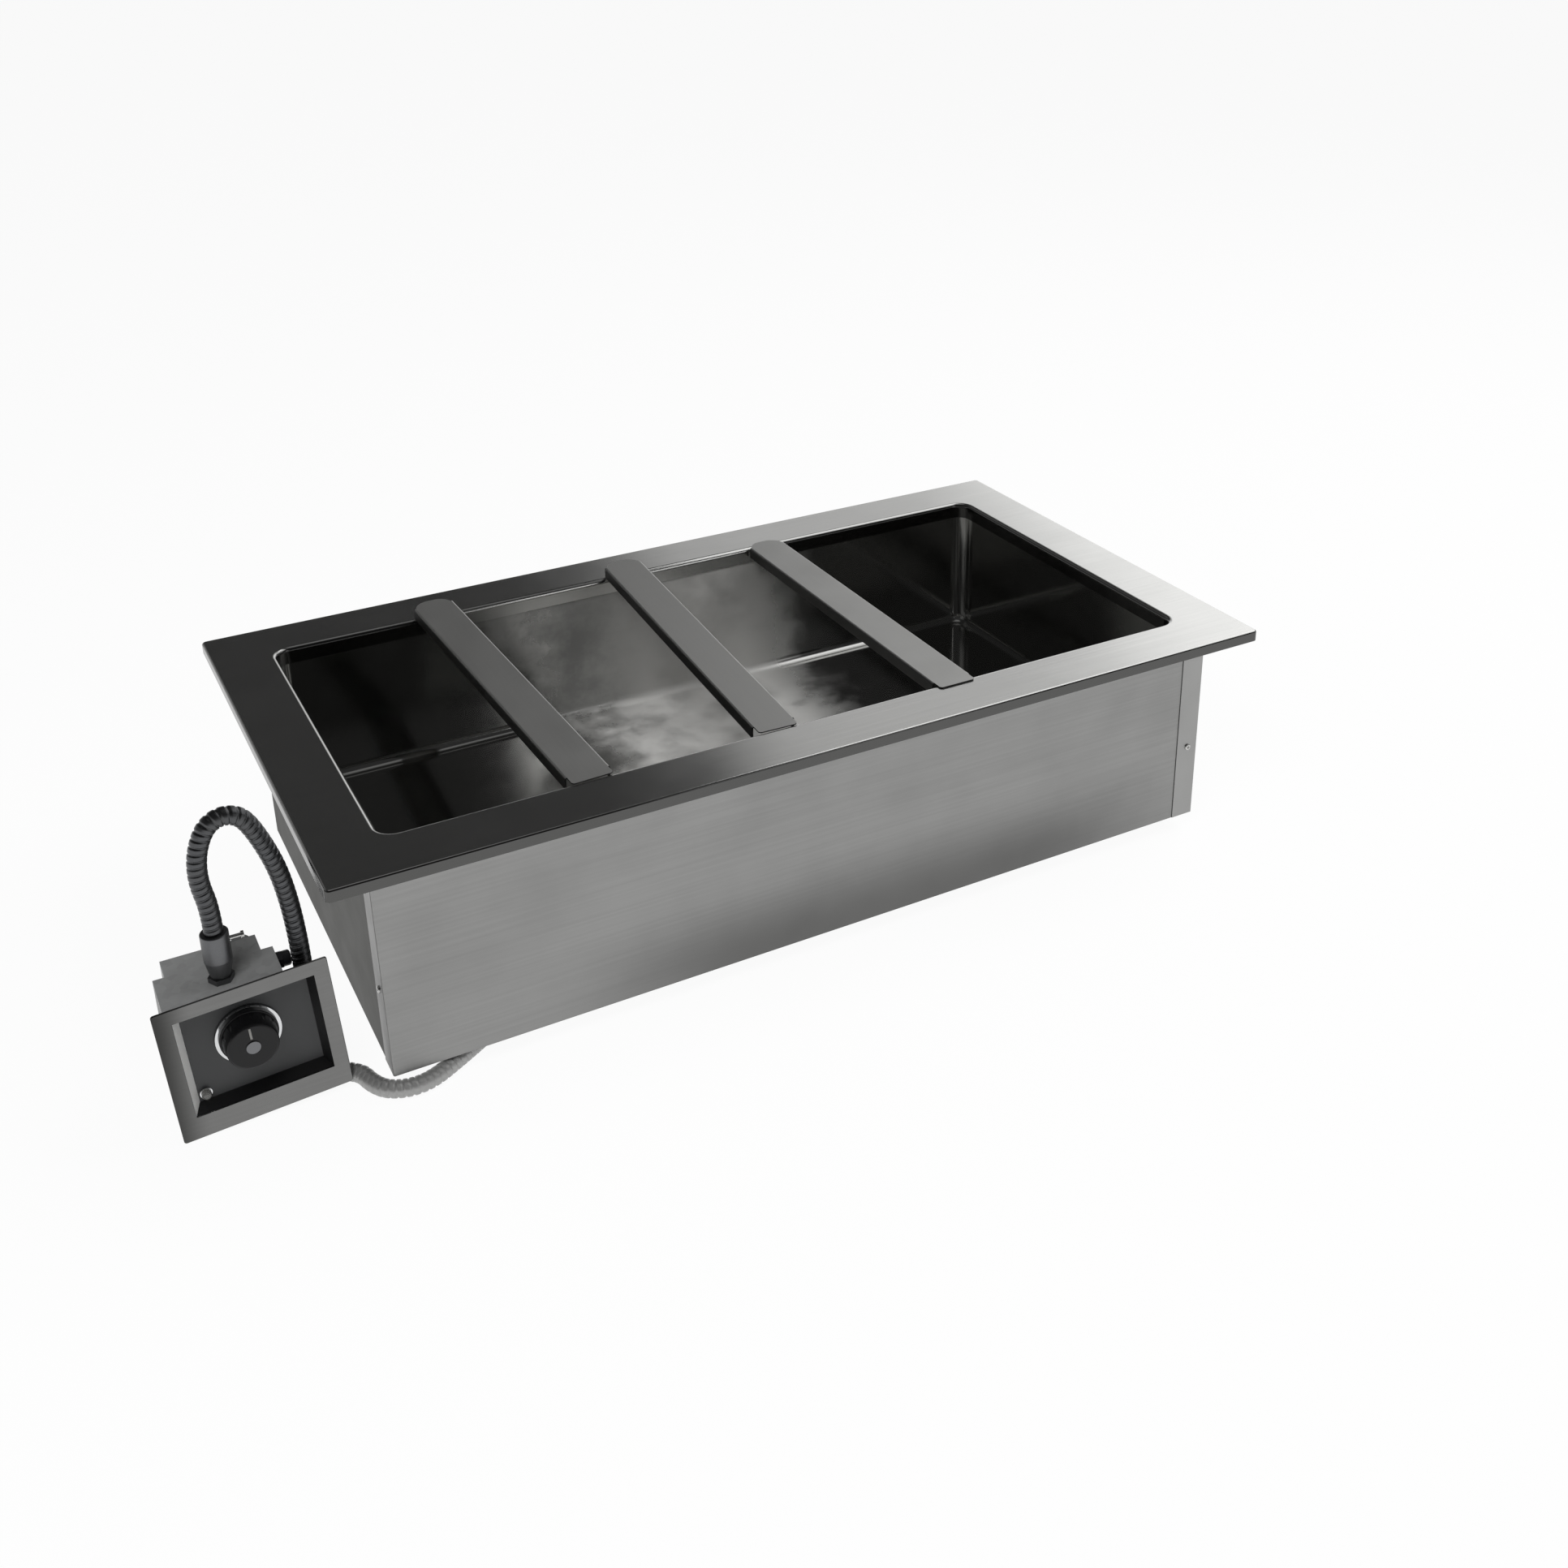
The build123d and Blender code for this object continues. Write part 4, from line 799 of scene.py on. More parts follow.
@dataclass(frozen=True)
class ClearMoulding:
    """Clear moulded polycarbonate: light passes through it, with faint ribs and haze."""

    name: str
    colour: str
    roughness: float = 0.12
    ripple_mm: float = 2.2
    # The share of the colour's light in a ripple's foot, and what the roughness gains up to its crest.
    tone: float = 0.88
    haze: Pair = (-0.05, 0.1)
    ior: float = 1.58
    clearness: float = 0.85

    def material(self) -> bpy.types.Material:
        """Builds the material, with its ripple and haze.

        Returns:
            The material.
        """
        material, tree = empty_material(self.name)
        place = add_node(tree, "ShaderNodeTexCoord").outputs["Object"]
        ripple = add_node(tree, "ShaderNodeTexNoise", inputs={
            "Vector": place, "Scale": per_metre(self.ripple_mm), "Detail": 2.0}).outputs["Fac"]
        tint = add_node(tree, "ShaderNodeMix", COLOURS, {
            0: ripple, MIX_FROM: linear(self.colour, self.tone), MIX_TO: linear(self.colour)})
        rough = add_node(tree, "ShaderNodeMapRange", inputs={
            "Value": ripple, "To Min": self.roughness + self.haze[0],
            "To Max": self.roughness + self.haze[1]})
        close_surface(tree, add_node(tree, "ShaderNodeBsdfPrincipled", inputs={
            "Base Color": tint.outputs[MIXED], "Roughness": rough.outputs[0], "IOR": self.ior,
            "Transmission Weight": self.clearness}))
        return material


Finish = BrushedSheet | CoatedSteel | TurnedMetal | Moulding | FibreMat | ClearMoulding


def dress(nodes: Nodes, names: list[str], finish: Finish) -> None:
    """Gives some pieces one finish.

    Args:
        nodes: the frame's pieces by name.
        names: the pieces that take the finish.
        finish: the finish.
    """
    material = finish.material()
    for name in names:
        slots = nodes[name].data.materials
        slots.clear()
        slots.append(material)
        log.info("dressed %s in %s", name, finish.name)


@dataclass
class TankTop:
    """The rim, the well under it and the three adapter bars that cross it."""

    bars: tuple[str, ...] = ("adapter_bar_left", "adapter_bar_centre", "adapter_bar_right")
    # Stainless sheet, brushed along its length: long soft reflections with a fine grain, painted shade on
    # its folds, and painted light on the skirt behind the middle of the well.
    rim_finish: SkirtLitSheet = SkirtLitSheet(
        "brushed_stainless_rim", "#cdcdcb", roughness=0.17, tone=0.1, smudge=0.02, smear=0.55,
        fold_shade_colour="#5a5a59")
    # Stainless sheet, deep drawn: an almost mirror wall, dulled over its middle by a pale film of painted
    # light, with painted shade on its walls at the left.
    well_finish: LitFilmSheet = LitFilmSheet(
        "drawn_stainless_well", "#b9b9b7", roughness=0.1, run_mm=80.0, depth_mm=0.001,
        smudge_mm=45.0, smudge=0.02, smear=0.5)
    # Stainless strip, folded and left satin: a flat grey with no mirror image in it, and painted shade on
    # its flanges.
    bar_finish: FoldShadedSheet = FoldShadedSheet(
        "satin_stainless_bar", "#bebebc", roughness=0.43, grain=Grain.ALONG_WIDTH, tone=0.05, smear=0.3)

    def dress(self, nodes: Nodes) -> None:
        """Finishes the pieces that show from above.

        Args:
            nodes: the frame's pieces by name.
        """
        dress(nodes, ["top_rim"], self.rim_finish)
        dress(nodes, ["well_liner"], self.well_finish)
        dress(nodes, list(self.bars), self.bar_finish)


@dataclass
class Casing:
    """The outer casing, its screws and the insulation behind it."""

    long_panels: tuple[str, ...] = ("casing_front", "casing_back", "casing_base")
    end_panels: tuple[str, ...] = ("casing_left", "casing_right")
    screws: tuple[str, ...] = ("casing_screws", "base_screws", "cover_screws")
    # Zinc-coated sheet, rolled smooth: a middle grey that mirrors the floor as a blur, with painted shade
    # low along the middle of its foot.
    long_finish: FootShadedSheet = FootShadedSheet(
        "rolled_zinc_steel_sheet", "#949493", roughness=0.34, run_mm=240.0, tone=0.16)
    # The same sheet, folded into the ends: a darker grey of painted shade, with paler laps over the long
    # panels.
    end_finish: ShadedEndSheet = ShadedEndSheet(
        "rolled_zinc_steel_end", "#7c7c7b", roughness=0.34, grain=Grain.ALONG_WIDTH, run_mm=240.0,
        tone=0.16, edge="#a4a4a3")
    # Zinc-plated steel screws: small bright heads.
    screw_finish: CoatedSteel = CoatedSteel(
        "plated_steel_screw", "#c6c6c4", roughness=0.24, cell_mm=2.0)
    # Mineral wool bats, cut with a knife: straw-coloured fibre.
    wool_finish: FibreMat = FibreMat("mineral_wool_bat", "#c4b486", binder="#6f6038")

    def dress(self, nodes: Nodes) -> None:
        """Finishes the casing's panels, screws and insulation.

        Args:
            nodes: the frame's pieces by name.
        """
        dress(nodes, list(self.long_panels), self.long_finish)
        dress(nodes, list(self.end_panels), self.end_finish)
        dress(nodes, list(self.screws), self.screw_finish)
        dress(nodes, ["base_insulation", "side_insulation"], self.wool_finish)


@dataclass
class HeatingDeck:
    """The elements under the well, what holds them and what senses their heat."""

    element_count: int = 4
    # Nickel alloy tube, oxidised by heat: a dull brown grey.
    sheath_finish: CoatedSteel = CoatedSteel(
        "oxidised_alloy_sheath", "#6a625a", roughness=0.42, cell=Cell.CREASE, cell_mm=3.0,
        stain="#3a3a45", stain_mm=40.0, stain_share=0.6)
    # Aluminium foil face, crinkled in handling: sharp bright facets.
    foil_finish: CoatedSteel = CoatedSteel(
        "crinkled_aluminium_foil", "#e2e3e5", roughness=0.14, cell=Cell.CREASE, cell_mm=22.0,
        depth_mm=0.9, contrast=0.02, stain_share=0.04)
    # Zinc-dipped strap, sheared from sheet: a spangled grey.
    strap_finish: CoatedSteel = CoatedSteel(
        "zinc_dipped_strap", "#a4a5a6", roughness=0.36, cell_mm=7.0)
    # Copper tube, drawn and handled: a soft red brown with darker tarnish.
    copper_finish: CoatedSteel = CoatedSteel(
        "drawn_copper_tube", "#cd8d6c", roughness=0.27, cell=Cell.CREASE, cell_mm=4.0, contrast=0.05,
        stain="#6d4632", stain_mm=25.0, stain_share=0.5)
    # Phenolic, moulded: a deep black with a low sheen.
    black_finish: Moulding = Moulding(
        "moulded_black_phenolic", "#17171a", worn="#2b2b2d", roughness=0.38)
    # Steatite, glazed: an off-white gloss.
    ceramic_finish: Moulding = Moulding(
        "glazed_steatite", "#e2dccf", worn="#cfc5b2", roughness=0.22, depth_mm=0.01, coat=0.4)

    def dress(self, nodes: Nodes) -> None:
        """Finishes the heating pieces.

        Args:
            nodes: the frame's pieces by name.
        """
        elements = [f"heating_element_{i}" for i in range(1, self.element_count + 1)]
        dress(nodes, elements, self.sheath_finish)
        dress(nodes, ["heat_shield"], self.foil_finish)
        dress(nodes, ["element_clamps", "bulb_clips"], self.strap_finish)
        dress(nodes, ["thermostat_bulb", "capillary_tube"], self.copper_finish)
        dress(nodes, ["high_limit_cutout", "thermostat_body", "blanking_plug"], self.black_finish)
        dress(nodes, ["terminal_block"], self.ceramic_finish)


@dataclass
class DrainLine:
    """The drain's fitting, screen, gasket and locknut, with the conduit's locknuts."""

    locknuts: tuple[str, ...] = ("drain_locknut", "box_locknut", "elbow_locknut")
    # Rubber, moulded: a matt black.
    gasket_finish: Moulding = Moulding(
        "moulded_nitrile_rubber", "#1c1c1d", worn="#343433", roughness=0.72, grit_mm=0.6, depth_mm=0.03)
    # Steel nut, zinc plated: a pale grey with a faint yellow cast.
    nut_finish: CoatedSteel = CoatedSteel(
        "zinc_plated_locknut", "#b7b5ac", roughness=0.3, cell=Cell.CREASE, cell_mm=1.8, contrast=0.06)

    def dress(self, nodes: Nodes) -> None:
        """Finishes the drain's pieces and the locknuts.

        Args:
            nodes: the frame's pieces by name.
        """
        # Stainless bar, turned: bright rings round the outlet.
        turned = TurnedMetal(
            "turned_stainless_drain", "#c9c9c7", roughness=0.2, centre=middle("drain_fitting"))
        dress(nodes, ["drain_fitting", "drain_screen"], turned)
        dress(nodes, ["drain_gasket"], self.gasket_finish)
        dress(nodes, list(self.locknuts), self.nut_finish)


@dataclass
class ControlBox:
    """The remote control box with its bezel, knob and pilot lamp."""

    switch_gear: tuple[str, ...] = ("thermostat_nut", "thermostat_spindle", "connector_screw")
    # How far across the bezel its painted shade reaches.
    bezel_shaded_share: float = 0.22
    # Steel panel, powder coated: a dark grey with a fine orange peel, painted shade on its walls and
    # painted light on the wall that faces right.
    panel_finish: ShadedRecessPanel = ShadedRecessPanel(
        "powder_coated_panel", "#313233", worn="#3d3e3f", roughness=0.42, grit_mm=1.2, depth_mm=0.03,
        wear_share=0.3)
    # Zinc-dipped box, spangled: a dull grey.
    box_finish: CoatedSteel = CoatedSteel(
        "zinc_dipped_box", "#a2a3a3", roughness=0.5, cell_mm=8.0, metallic=0.35)
    # Phenolic knob, moulded and handled: black with a soft shine.
    knob_finish: Moulding = Moulding(
        "moulded_knob_phenolic", "#0f0f10", worn="#1e1e1f", roughness=0.33, ior=1.36)
    # Brass, chrome plated and polished: a clear mirror.
    chrome_finish: BrushedSheet = BrushedSheet(
        "polished_chrome_plate", "#d6d7d8", roughness=0.1, scratch_mm=3.0, run_mm=9.0, depth_mm=0.002,
        smudge=0.03)
    # Enamel fill, wiped into its groove and worn: a dim grey line.
    pointer_finish: Moulding = Moulding("grey_enamel_fill", "#8f8e8b", worn="#76756f", roughness=0.45)
    # Polycarbonate, moulded clear: a small bright lens.
    lens_finish: ClearMoulding = ClearMoulding("clear_polycarbonate_lens", "#f2f1ec")
    # Zinc alloy, die cast: a grainy grey.
    cast_finish: CoatedSteel = CoatedSteel(
        "die_cast_zinc_fitting", "#727375", roughness=0.4, cell=Cell.CREASE, cell_mm=1.5, contrast=0.12,
        depth_mm=0.03)
    # Steel parts of the switch gear, zinc plated: small bright glints.
    gear_finish: CoatedSteel = CoatedSteel(
        "plated_switch_gear", "#c2c2c0", roughness=0.26, cell_mm=1.6)

    def bezel_finish(self) -> SideShadedSheet:
        """Works out the bezel's finish from where the bezel stands.

        Returns:
            The finish.
        """
        left, right = (corner[0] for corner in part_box("control_bezel"))
        # Stainless trim, brushed: the frame round the panel, with painted shade at its left.
        return SideShadedSheet(
            "brushed_stainless_bezel", "#797978", roughness=0.3, tone=0.15, drift_mm=90.0,
            side_shade_to=left, unshaded_from=left + self.bezel_shaded_share * (right - left))

    def dress(self, nodes: Nodes) -> None:
        """Finishes the box, its knob and its lamp.

        Args:
            nodes: the frame's pieces by name.
        """
        # Aluminium disc, spun: fine rings round its middle.
        spun = TurnedMetal("spun_aluminium_cap", "#77787a", roughness=0.36, centre=middle("knob_cap"),
                           axis="Y", groove_mm=0.9)
        dress(nodes, ["control_bezel"], self.bezel_finish())
        dress(nodes, ["control_recess"], self.panel_finish)
        dress(nodes, ["control_housing", "control_rear_cover"], self.box_finish)
        dress(nodes, ["knob"], self.knob_finish)
        dress(nodes, ["knob_ring", "pilot_lamp_body"], self.chrome_finish)
        dress(nodes, ["knob_cap"], spun)
        dress(nodes, ["knob_pointer"], self.pointer_finish)
        dress(nodes, ["pilot_lamp_lens"], self.lens_finish)
        dress(nodes, ["box_connector", "elbow_connector"], self.cast_finish)
        dress(nodes, list(self.switch_gear), self.gear_finish)


@dataclass
class ConduitRun:
    """The flexible steel conduit from the control box to the casing: one strip wound on a helix."""

    name: str = "wound_conduit"
    # The route, in millimetres of the part's frame: out of the box, over, down and along the floor.
    route_mm: tuple[Triple, ...] = (
        (-696.6, -220.0, -64.9),
        (-696.6, -220.0, -34.9),
        (-702.5, -220.0, -5.0),
        (-701.5, -220.0, 22.0),
        (-695.0, -220.0, 44.0),
        (-685.5, -220.0, 59.0),
        (-671.5, -220.0, 65.5),
        (-656.5, -220.0, 61.8),
        (-646.5, -220.0, 49.5),
        (-634.5, -220.0, 20.0),
        (-624.5, -220.0, -14.0),
        (-618.5, -220.0, -55.0),
        (-615.5, -220.0, -100.0),
        (-614.5, -220.0, -155.0),
        (-613.0, -220.0, -205.0),
        (-612.5, -220.5, -248.0),
        (-604.5, -224.5, -266.0),
        (-589.5, -232.5, -276.0),
        (-574.0, -246.0, -276.0),
        (-569.5, -264.5, -276.0),
        (-559.5, -282.5, -276.0),
        (-543.5, -292.0, -276.0),
        (-525.0, -295.0, -276.0),
        (-505.0, -290.5, -276.0),
        (-482.5, -279.0, -275.0),
        (-452.3, -262.3, -274.0),
        (-425.0, -244.5, -274.0),
    )
    route_order: int = 3
    route_steps: int = 24
    radius_mm: float = 10.0
    bore_mm: float = 7.6
    groove_mm: float = 1.1
    pitch_mm: float = 7.5
    crest_share: float = 0.56
    flank_share: float = 0.14
    steps_per_turn: int = 10
    sides: int = 32
    # Steel strip, zinc coated, then folded and wound: ribs with a bright crest and a dark groove, and
    # painted light near the floor.
    finish: FloorLitStrip = FloorLitStrip(
        "wound_zinc_strip", "#5a5b5d", roughness=0.36, cell=Cell.CREASE, cell_mm=3.0, contrast=0.08,
        stain_mm=35.0)

    def centreline(self) -> list[Vector]:
        """Reads the smooth line that the route's points control.

        Returns:
            Points along the line, in metres.
        """
        curve = bpy.data.curves.new("conduit_route", "CURVE")
        curve.dimensions = "3D"
        curve.resolution_u = self.route_steps
        spline = curve.splines.new("NURBS")
        spline.points.add(len(self.route_mm) - 1)
        for point, place in zip(spline.points, self.route_mm):
            point.co = (*[c * MM for c in place], 1.0)
        spline.order_u = self.route_order
        spline.use_endpoint_u = True
        carrier = bpy.data.objects.new("conduit_route", curve)
        mesh = bpy.data.meshes.new_from_object(carrier)
        line = [v.co.copy() for v in mesh.vertices]
        bpy.data.meshes.remove(mesh)
        bpy.data.objects.remove(carrier)
        bpy.data.curves.remove(curve)
        return line

    @staticmethod
    def even(line: list[Vector], step: float) -> list[Vector]:
        """Spaces points evenly along a line.

        Args:
            line: the line's points.
            step: the wanted spacing, which is rounded to fit the length.

        Returns:
            Points at an even spacing, with both ends kept.
        """
        spans = [(b - a).length for a, b in zip(line, line[1:])]
        count = max(2, round(sum(spans) / step))
        stride = sum(spans) / count
        points = [line[0].copy()]
        walked, index = 0.0, 0
        for i in range(1, count):
            while walked + spans[index] < i * stride:
                walked += spans[index]
                index += 1
            share = (i * stride - walked) / spans[index]
            points.append(line[index].lerp(line[index + 1], share))
        points.append(line[-1].copy())
        return points

    def strip_height(self, phase: float) -> float:
        """Works out how much of the groove's depth the wound strip fills.

        Args:
            phase: how far round the winding's turn a point is, in turns.

        Returns:
            From 0 at the groove's foot to 1 on the crest.
        """
        from_crest = abs((phase + 0.5) % 1.0 - 0.5)
        half = self.crest_share / 2
        share = min(1.0, max(0.0, (half + self.flank_share - from_crest) / self.flank_share))
        return 0.5 - 0.5 * math.cos(math.pi * share)

    def wall(self, points: list[Vector], turns: float) -> tuple[list[Vector], list[tuple[int, ...]]]:
        """Shapes the conduit's wall round its centreline, with its wound ribs and its bore.

        Args:
            points: even points along the centreline, in metres.
            turns: how many turns the strip makes from end to end.

        Returns:
            The wall's corners, the outside's before the bore's, and its faces.
        """
        last = len(points) - 1
        outside, inside = [], []
        # Each ring's first spoke is carried on from the ring before, so that the wall doesn't twist.
        side = Vector((0.0, 1.0, 0.0))
        for i, point in enumerate(points):
            ahead = (points[min(i + 1, last)] - points[max(i - 1, 0)]).normalized()
            side = (side - ahead * side.dot(ahead)).normalized()
            across = ahead.cross(side)
            for j in range(self.sides):
                turn = j / self.sides
                spoke = side * math.cos(math.tau * turn) + across * math.sin(math.tau * turn)
                fill = self.strip_height(turns * i / last - turn)
                outside.append(point + spoke * (self.radius_mm - self.groove_mm * (1 - fill)) * MM)
                inside.append(point + spoke * self.bore_mm * MM)
        bore = len(outside)
        faces = []
        for i in range(last):
            for j in range(self.sides):
                a = i * self.sides + j
                b = i * self.sides + (j + 1) % self.sides
                c, d = b + self.sides, a + self.sides
                faces.append((a, b, c, d))
                faces.append((bore + d, bore + c, bore + b, bore + a))
        # Each end is closed from the outside to the bore.
        for j in range(self.sides):
            a, b = j, (j + 1) % self.sides
            faces.append((b, a, bore + a, bore + b))
            a, b = a + last * self.sides, b + last * self.sides
            faces.append((a, b, bore + b, bore + a))
        return outside + inside, faces

    def build(self) -> None:
        """Makes the conduit, hangs it on the root body and hides the frame's own conduit, which it stands
        in for.
        """
        line = self.centreline()
        points = self.even(line, self.pitch_mm * MM / self.steps_per_turn)
        length = sum((b - a).length for a, b in zip(points, points[1:]))
        corners, faces = self.wall(points, length / (self.pitch_mm * MM))
        mesh = bpy.data.meshes.new(self.name)
        mesh.from_pydata(corners, [], faces)
        mesh.polygons.foreach_set("use_smooth", [True] * len(mesh.polygons))
        mesh.materials.append(self.finish.material())
        mesh.update()
        conduit = bpy.data.objects.new(self.name, mesh)
        bpy.context.scene.collection.objects.link(conduit)
        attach(conduit, "root")
        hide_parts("conduit")
        log.info("built %s, %.0f mm long", self.name, length / MM)


@dataclass
class Lamp:
    """A soft panel lamp that faces a point, and may be kept out of what the metal mirrors."""

    name: str
    place: Triple
    aim: Triple
    size: Pair
    radiance: float
    mirrored: bool = True

    def build(self) -> None:
        """Makes the lamp, with the power that gives its face the stated brightness."""
        lamp = bpy.data.lights.new(self.name, "AREA")
        lamp.shape = "RECTANGLE"
        lamp.size, lamp.size_y = self.size
        lamp.energy = self.radiance * math.pi * self.size[0] * self.size[1]
        holder = bpy.data.objects.new(self.name, lamp)
        turn = (Vector(self.aim) - Vector(self.place)).to_track_quat("-Z", "Y")
        holder.matrix_world = Matrix.Translation(self.place) @ turn.to_matrix().to_4x4()
        holder.visible_glossy = self.mirrored
        bpy.context.scene.collection.objects.link(holder)
        log.info("built %s", self.name)


@dataclass(frozen=True)
class RoomEdge:
    """A slanting edge in the room, past which its wall is brighter.

    The edge stands at a turn in degrees, to the right of straight behind, at one height of the look's
    Z, and it leans back by its slant as the look rises.
    """

    turn: float
    height: float
    slant: float
    softness: float
    gain: float


@dataclass(frozen=True)
class Fade:
    """Where a wall of the room fades in along one direction of the look: from none of it to all of it."""

    way: str
    none: float
    full: float


@dataclass
class Studio:
    """A white floor, a dim room with a bright side and a grey wall, soft lamps and the camera."""

    floor_height: float = -0.2862
    floor_radius: float = 26.0
    floor_sides: int = 64
    floor_colour: str = "#f4f4f4"
    # The share of the floor's look that comes from its own light, which leaves a faint shadow.
    floor_glow: float = 0.94
    # The room's light by the look's height: pale at the horizon, dim above it, and paler overhead.
    horizon_light: float = 0.95
    horizon_end: Pair = (0.04, 0.22)
    upper_light: float = 0.04
    ceiling_light: float = 0.22
    ceiling_start: Pair = (0.91, 0.97)
    # The bright side, at the right behind.
    room_edges: tuple[RoomEdge, ...] = (
        RoomEdge(turn=25.0, height=0.48, slant=0.6, softness=0.015, gain=0.58),
        RoomEdge(turn=39.3, height=0.43, slant=1.0, softness=0.03, gain=0.75),
    )
    bright_side: tuple[Fade, ...] = (
        Fade("Y", none=0.35, full=0.6),
        Fade("Z", none=0.1, full=0.2),
        Fade("Z", none=0.75, full=0.55),
    )
    # The grey wall, at the left.
    wall_light: float = 0.16
    left_side: tuple[Fade, ...] = (
        Fade("X", none=0.0, full=-0.2),
        Fade("Y", none=-0.5, full=-0.2),
        Fade("Z", none=0.1, full=0.2),
        Fade("Z", none=0.75, full=0.55),
    )
    camera_place: Triple = (-0.84449, -1.80953, 0.96027)
    camera_turn: Triple = (67.642, 0.661, -28.714)
    camera_lens: float = 39.13
    camera_shift: Pair = (-0.0231, -0.1528)
    camera_reach: float = 100.0
    lamps: tuple[Lamp, ...] = field(default_factory=lambda: (
        Lamp("ceiling_panel", place=(2.9, 0.2, 3.15), aim=(0.0, 0.0, 0.0), size=(4.2, 3.2), radiance=1.3),
        Lamp("front_right_panel", place=(1.0, -2.3, 1.1), aim=(1.0, 0.0, -0.1), size=(0.9, 0.7),
             radiance=1.2),
        Lamp("right_fill", place=(2.6, -0.4, 3.1), aim=(0.0, 0.0, 0.0), size=(2.2, 2.4), radiance=4.0,
             mirrored=False),
        Lamp("left_fill", place=(-1.6, -1.7, 2.6), aim=(-0.5, 0.0, -0.2), size=(1.4, 1.4), radiance=9.0,
             mirrored=False),
    ))

    def floor_material(self) -> bpy.types.Material:
        """Makes the floor's matt white paint, which is white to the eye and in reflections.

        Returns:
            The material.
        """
        material, tree = empty_material("matt_white_floor")
        paint = add_node(tree, "ShaderNodeBsdfDiffuse", inputs={"Color": linear(self.floor_colour)})
        glow = add_node(tree, "ShaderNodeEmission", inputs={"Color": linear(WHITE), "Strength": 1.0})
        path = add_node(tree, "ShaderNodeLightPath").outputs
        seen = path["Is Camera Ray"]
        for ray in ("Is Glossy Ray", "Is Transmission Ray"):
            seen = add_node(tree, "ShaderNodeMath", {"operation": "MAXIMUM"}, {
                0: seen, 1: path[ray]}).outputs[0]
        share = add_node(tree, "ShaderNodeMath", {"operation": "MULTIPLY"}, {
            0: seen, 1: self.floor_glow})
        close_surface(tree, add_node(tree, "ShaderNodeMixShader", inputs={
            0: share.outputs[0], 1: paint.outputs[0], 2: glow.outputs[0]}))
        return material

    def build_floor(self) -> None:
        """Makes the floor, a wide flat disc that the object's shadow falls on."""
        ring = [(self.floor_radius * math.cos(math.tau * i / self.floor_sides),
                 self.floor_radius * math.sin(math.tau * i / self.floor_sides),
                 self.floor_height) for i in range(self.floor_sides)]
        mesh = bpy.data.meshes.new("studio_floor")
        mesh.from_pydata(ring, [], [tuple(range(self.floor_sides))])
        mesh.materials.append(self.floor_material())
        floor = bpy.data.objects.new("studio_floor", mesh)
        bpy.context.scene.collection.objects.link(floor)

    def light_by_height(self, tree: Tree, up: Socket) -> Socket:
        """Works out the room's light by the look's height.

        Args:
            tree: the room's node tree.
            up: how far the look rises, from -1 to 1.

        Returns:
            The light, where 1 is white.
        """
        wall = add_node(tree, "ShaderNodeMapRange", SMOOTH, {
            "Value": up, "From Min": self.horizon_end[0], "From Max": self.horizon_end[1],
            "To Min": self.horizon_light, "To Max": self.upper_light})
        # The ceiling is pale straight above, so that the metal isn't black from over it.
        ceiling = add_node(tree, "ShaderNodeMapRange", SMOOTH, {
            "Value": up, "From Min": self.ceiling_start[0], "From Max": self.ceiling_start[1],
            "To Min": 0.0, "To Max": self.ceiling_light})
        return add_node(tree, "ShaderNodeMath", {"operation": "MAXIMUM"}, {
            0: wall.outputs[0], 1: ceiling.outputs[0]}).outputs[0]

    def light_past_edges(self, tree: Tree, look: Socket) -> Socket:
        """Adds up the light past each of the room's slanting edges.

        Args:
            tree: the room's node tree.
            look: the direction of the look.

        Returns:
            The light, before it is faded to the bright side's limits.
        """
        light = 0.0
        for edge in self.room_edges:
            turn = math.radians(edge.turn)
            across = add_node(tree, "ShaderNodeVectorMath", {"operation": "DOT_PRODUCT"}, {
                0: look, 1: (math.cos(turn), -math.sin(turn), -edge.slant)}).outputs["Value"]
            level = -edge.slant * edge.height
            step = add_node(tree, "ShaderNodeMapRange", SMOOTH, {
                "Value": across, "From Min": level - edge.softness, "From Max": level + edge.softness,
                "To Min": 0.0, "To Max": edge.gain})
            light = add_node(tree, "ShaderNodeMath", {"operation": "ADD"}, {
                0: light, 1: step.outputs[0]}).outputs[0]
        return light

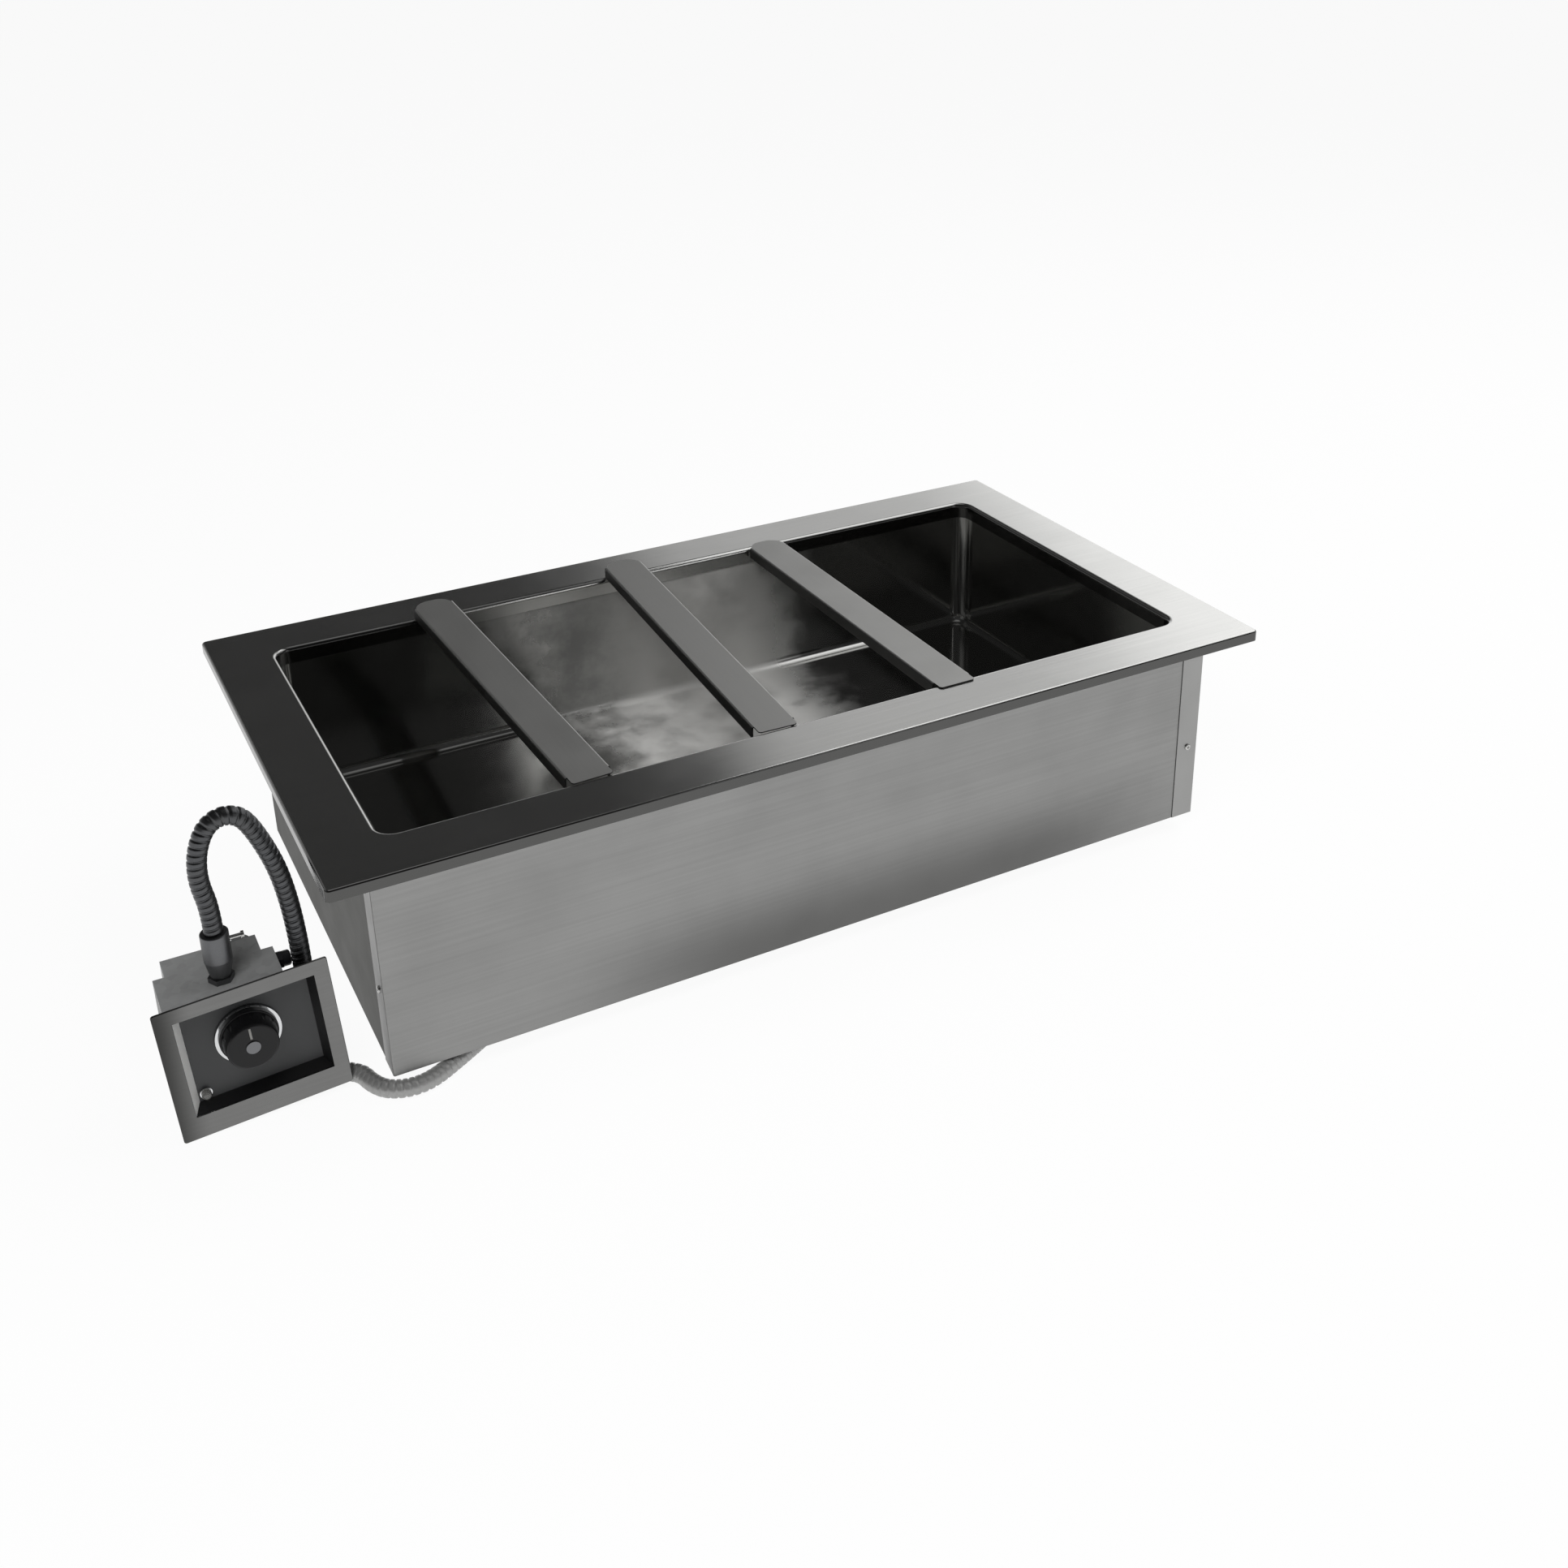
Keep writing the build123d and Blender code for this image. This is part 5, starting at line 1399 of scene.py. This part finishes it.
    def build_room(self) -> None:
        """Makes the room, with its light by height, its bright side and its grey wall."""
        world = bpy.data.worlds.new("studio_room")
        world.use_nodes = True
        tree = world.node_tree
        tree.nodes.clear()
        look = add_node(tree, "ShaderNodeTexCoord").outputs["Generated"]
        ways = add_node(tree, "ShaderNodeSeparateXYZ", inputs={0: look}).outputs
        light = self.light_by_height(tree, ways["Z"])
        bright = self.light_past_edges(tree, look)
        for side, fades in ((bright, self.bright_side), (self.wall_light, self.left_side)):
            for fade in fades:
                inside = add_node(tree, "ShaderNodeMapRange", SMOOTH, {
                    "Value": ways[fade.way], "From Min": min(fade.none, fade.full),
                    "From Max": max(fade.none, fade.full), "To Min": float(fade.none > fade.full),
                    "To Max": float(fade.full > fade.none)})
                side = add_node(tree, "ShaderNodeMath", {"operation": "MULTIPLY"}, {
                    0: side, 1: inside.outputs[0]}).outputs[0]
            light = add_node(tree, "ShaderNodeMath", {"operation": "MAXIMUM"}, {
                0: light, 1: side}).outputs[0]
        back = add_node(tree, "ShaderNodeBackground", inputs={"Color": linear(WHITE), "Strength": light})
        add_node(tree, "ShaderNodeOutputWorld", inputs={"Surface": back.outputs[0]})
        bpy.context.scene.world = world

    def build_camera(self) -> None:
        """Sets the camera at the photograph's viewpoint."""
        camera = bpy.data.cameras.new("viewpoint")
        camera.lens = self.camera_lens
        camera.shift_x, camera.shift_y = self.camera_shift
        camera.clip_end = self.camera_reach
        holder = bpy.data.objects.new("viewpoint", camera)
        holder.location = self.camera_place
        holder.rotation_euler = [math.radians(a) for a in self.camera_turn]
        bpy.context.scene.collection.objects.link(holder)
        bpy.context.scene.camera = holder

    def build(self) -> None:
        """Makes the floor, the room, the lamps and the camera."""
        bpy.context.scene.view_settings.view_transform = "Standard"
        self.build_floor()
        self.build_room()
        for lamp in self.lamps:
            lamp.build()
        self.build_camera()
        log.info("built the studio with %d lamps", len(self.lamps))


def main() -> None:
    """Loads the frame, dresses and adds its pieces and sets the studio."""
    logging.basicConfig(level=logging.INFO, format="%(name)s: %(message)s")
    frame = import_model()
    Studio().build()
    ConduitRun().build()
    for assembly in (TankTop(), Casing(), HeatingDeck(), DrainLine(), ControlBox()):
        assembly.dress(frame["nodes"])


if __name__ == "__main__":
    main()
